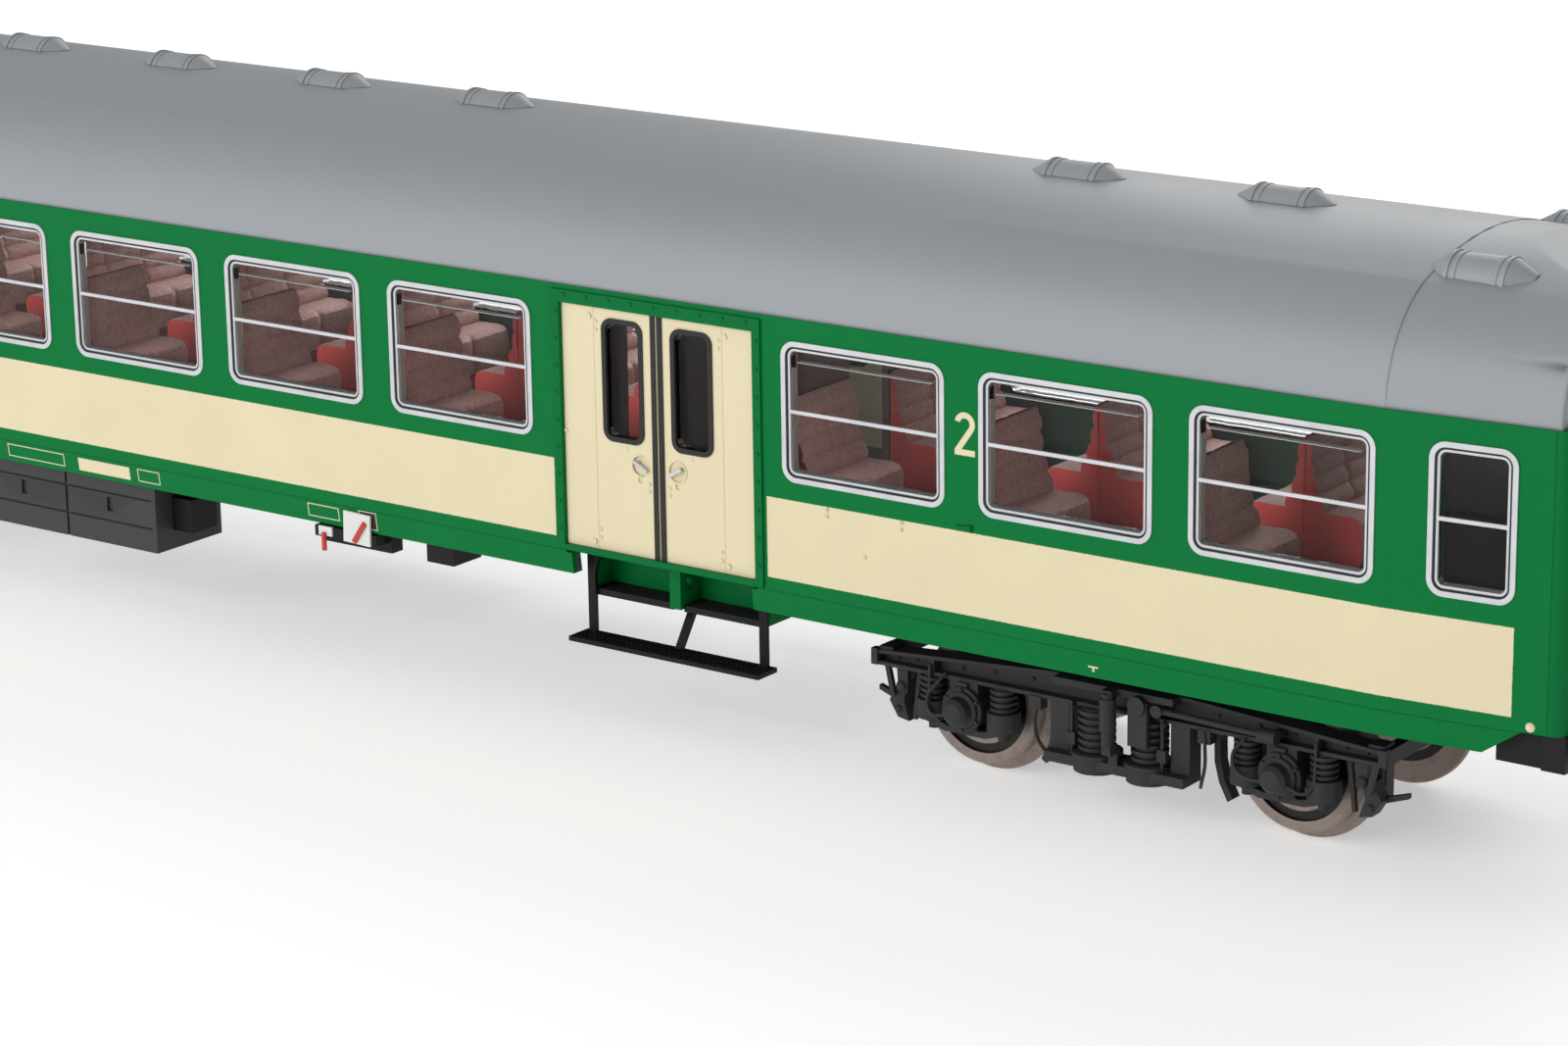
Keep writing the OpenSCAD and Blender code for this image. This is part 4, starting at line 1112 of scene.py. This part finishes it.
    def hanger(self, shape: Shape, end: int) -> None:
        """Adds the brake hanger, shoe, pin and guard strut beyond one wheel."""
        y = self.face_y
        links = [
            (y - 1.2, 0.5, [(20.2, 8.5), (21.3, 8.5), (21.2, 6.9), (20.9, 6.2), (20.3, 6.2)]),
            (y - 2.4, 1.3, [(20.6, 6.9), (21.6, 6.6), (22.3, 5.2), (21.5, 3.9), (20.4, 3.7),
                            (20.9, 5.2)]),
            (y - 0.8, 0.4, [(21.9, 8.5), (22.3, 8.5), (21.7, 5.8), (21.3, 5.9)]),
            (y - 1.6, 0.4, [(19.2, 8.4), (19.6, 8.4), (20.1, 4.0), (19.8, 3.9)]),
            (y - 2.6, 0.5, [(20.6, 4.3), (24.0, 5.5), (24.0, 5.9), (20.5, 4.8)]),
        ]
        for low, thick, outline in links:
            shape.prism(outline, lambda u, v, d: (end * u, d, v), low, low + thick)
        shape.dome((end * 20.85, y - 0.75, 6.7), (0, 1, 0), 0.5, 0.4, 12)
        shape.dome((end * 21.4, y - 1.15, 4.6), (0, 1, 0), 0.35, 0.35, 10)

    def inner_shoe(self, shape: Shape, end: int) -> None:
        """Adds the curved brake shoe on the inner side of one wheel."""
        reach, y = self.wheel_z + 0.62, self.face_y
        for i in range(6):
            low, high = (math.radians(-34 + 13 * (i + k)) for k in (0, 1))
            outline = [(self.axle - r * math.cos(t), self.wheel_z + r * math.sin(t))
                       for r, t in ((reach, low), (reach, high), (reach + 0.55, high),
                                    (reach + 0.55, low))]
            shape.prism(outline, lambda u, v, d: (end * u, d, v), y - 3.6, y - 2.5)

    def build(self) -> None:
        """Dresses and details the bogie."""
        self.dress()
        self.hoses()
        self.fittings()


@dataclass
class Couplers:
    """The swinging coupler arms and their lifting loops."""

    ends: tuple[str, str] = ("front", "rear")

    def dress(self) -> None:
        """Gives the carried-over parts their finishes."""
        for end in self.ends:
            dress(end + "_coupler_arm", Tone.BLACK.material())
            dress(end + "_coupler_loop", Tone.COUPLER.material())


@dataclass
class Studio:
    """A pale floor, soft lights and the camera."""

    azimuth: float = 36.42
    elevation: float = 15.83
    roll: float = -0.885
    distance: float = 341.34
    aim: Point = (70.37, -16.55, 20.29)
    lens: float = 98.92
    sensor: float = 36.0
    floor_half: float = 6000.0
    floor_tone: Rgb = (0.86, 0.86, 0.86)
    floor_glow: float = 0.45
    sky: float = 0.40

    def floor(self) -> None:
        """Lays the floor just under the wheels."""
        shape = Shape()
        h = self.floor_half
        shape.face([(-h, -h, -0.02), (h, -h, -0.02), (h, h, -0.02), (-h, h, -0.02)])
        bmesh.ops.scale(shape.mesh, vec=(MM, MM, MM), verts=shape.mesh.verts)
        data = bpy.data.meshes.new("studio_floor")
        shape.mesh.to_mesh(data)
        shape.mesh.free()
        board = Board("floor_pale")
        data.materials.append(board.close(
            Base_Color=self.floor_tone, Roughness=0.7, Emission_Color=(1.0, 1.0, 1.0),
            Emission_Strength=self.floor_glow))
        piece = bpy.data.objects.new("studio_floor", data)
        bpy.context.scene.collection.objects.link(piece)

    def world(self) -> None:
        """Lights everything softly from all round."""
        world = bpy.data.worlds.new("studio")
        world.use_nodes = True
        back = world.node_tree.nodes["Background"]
        back.inputs[0].default_value = (1.0, 1.0, 1.0, 1.0)
        back.inputs[1].default_value = self.sky
        bpy.context.scene.world = world
        bpy.context.scene.view_settings.view_transform = "Standard"

    def lamp(self, name: str, at: Point, aim: Point, size: float, watts: float,
             colour: Rgb = (1.0, 1.0, 1.0)) -> None:
        """Hangs one soft square light.

        Args:
            name: the light's name.
            at: where it hangs, in millimetres.
            aim: the point it faces.
            size: its width in millimetres.
            watts: its power.
            colour: its colour.
        """
        data = bpy.data.lights.new(name, "AREA")
        data.size, data.energy, data.color = size * MM, watts, colour
        lamp = bpy.data.objects.new(name, data)
        lamp.location = Vector(at) * MM
        lamp.rotation_mode = "QUATERNION"
        lamp.rotation_quaternion = (Vector(aim) - Vector(at)).to_track_quat("-Z", "Y")
        bpy.context.scene.collection.objects.link(lamp)

    def camera(self) -> None:
        """Sets the camera where the viewer stands."""
        a, e, r = (math.radians(v) for v in (self.azimuth, self.elevation, self.roll))
        back = Vector((math.sin(a) * math.cos(e), -math.cos(a) * math.cos(e), math.sin(e)))
        right = Vector((math.cos(a), math.sin(a), 0.0))
        up = back.cross(right)
        x = right * math.cos(r) + up * math.sin(r)
        y = up * math.cos(r) - right * math.sin(r)
        place = (Vector(self.aim) + back * self.distance) * MM
        data = bpy.data.cameras.new("view")
        data.lens, data.sensor_width = self.lens, self.sensor
        data.clip_start, data.clip_end = 0.01, 20.0
        camera = bpy.data.objects.new("view", data)
        camera.matrix_world = Matrix((
            (x.x, y.x, back.x, place.x), (x.y, y.y, back.y, place.y),
            (x.z, y.z, back.z, place.z), (0, 0, 0, 1)))
        bpy.context.scene.collection.objects.link(camera)
        bpy.context.scene.camera = camera

    def build(self) -> None:
        """Sets up the studio."""
        self.floor()
        self.world()
        self.lamp("key", (-190, -740, 300), (30, 0, 20), 600, 3.4)
        self.lamp("back", (-60, 620, 420), (20, 0, 30), 600, 2.4)
        self.camera()


def main() -> None:
    """Builds the coach piece by piece."""
    logging.basicConfig(level=logging.INFO, format="%(name)s: %(message)s")
    Bodyshell().dress()
    seats = Seats()
    seats.build("seats_near", 2, 0.0)
    seats.build("seats_far", 3, 2.4)
    SideTrim().build()
    Bogie("front", 1).build()
    Bogie("rear", -1).build()
    Couplers().dress()
    Studio().build()


if __name__ == "__main__":
    main()
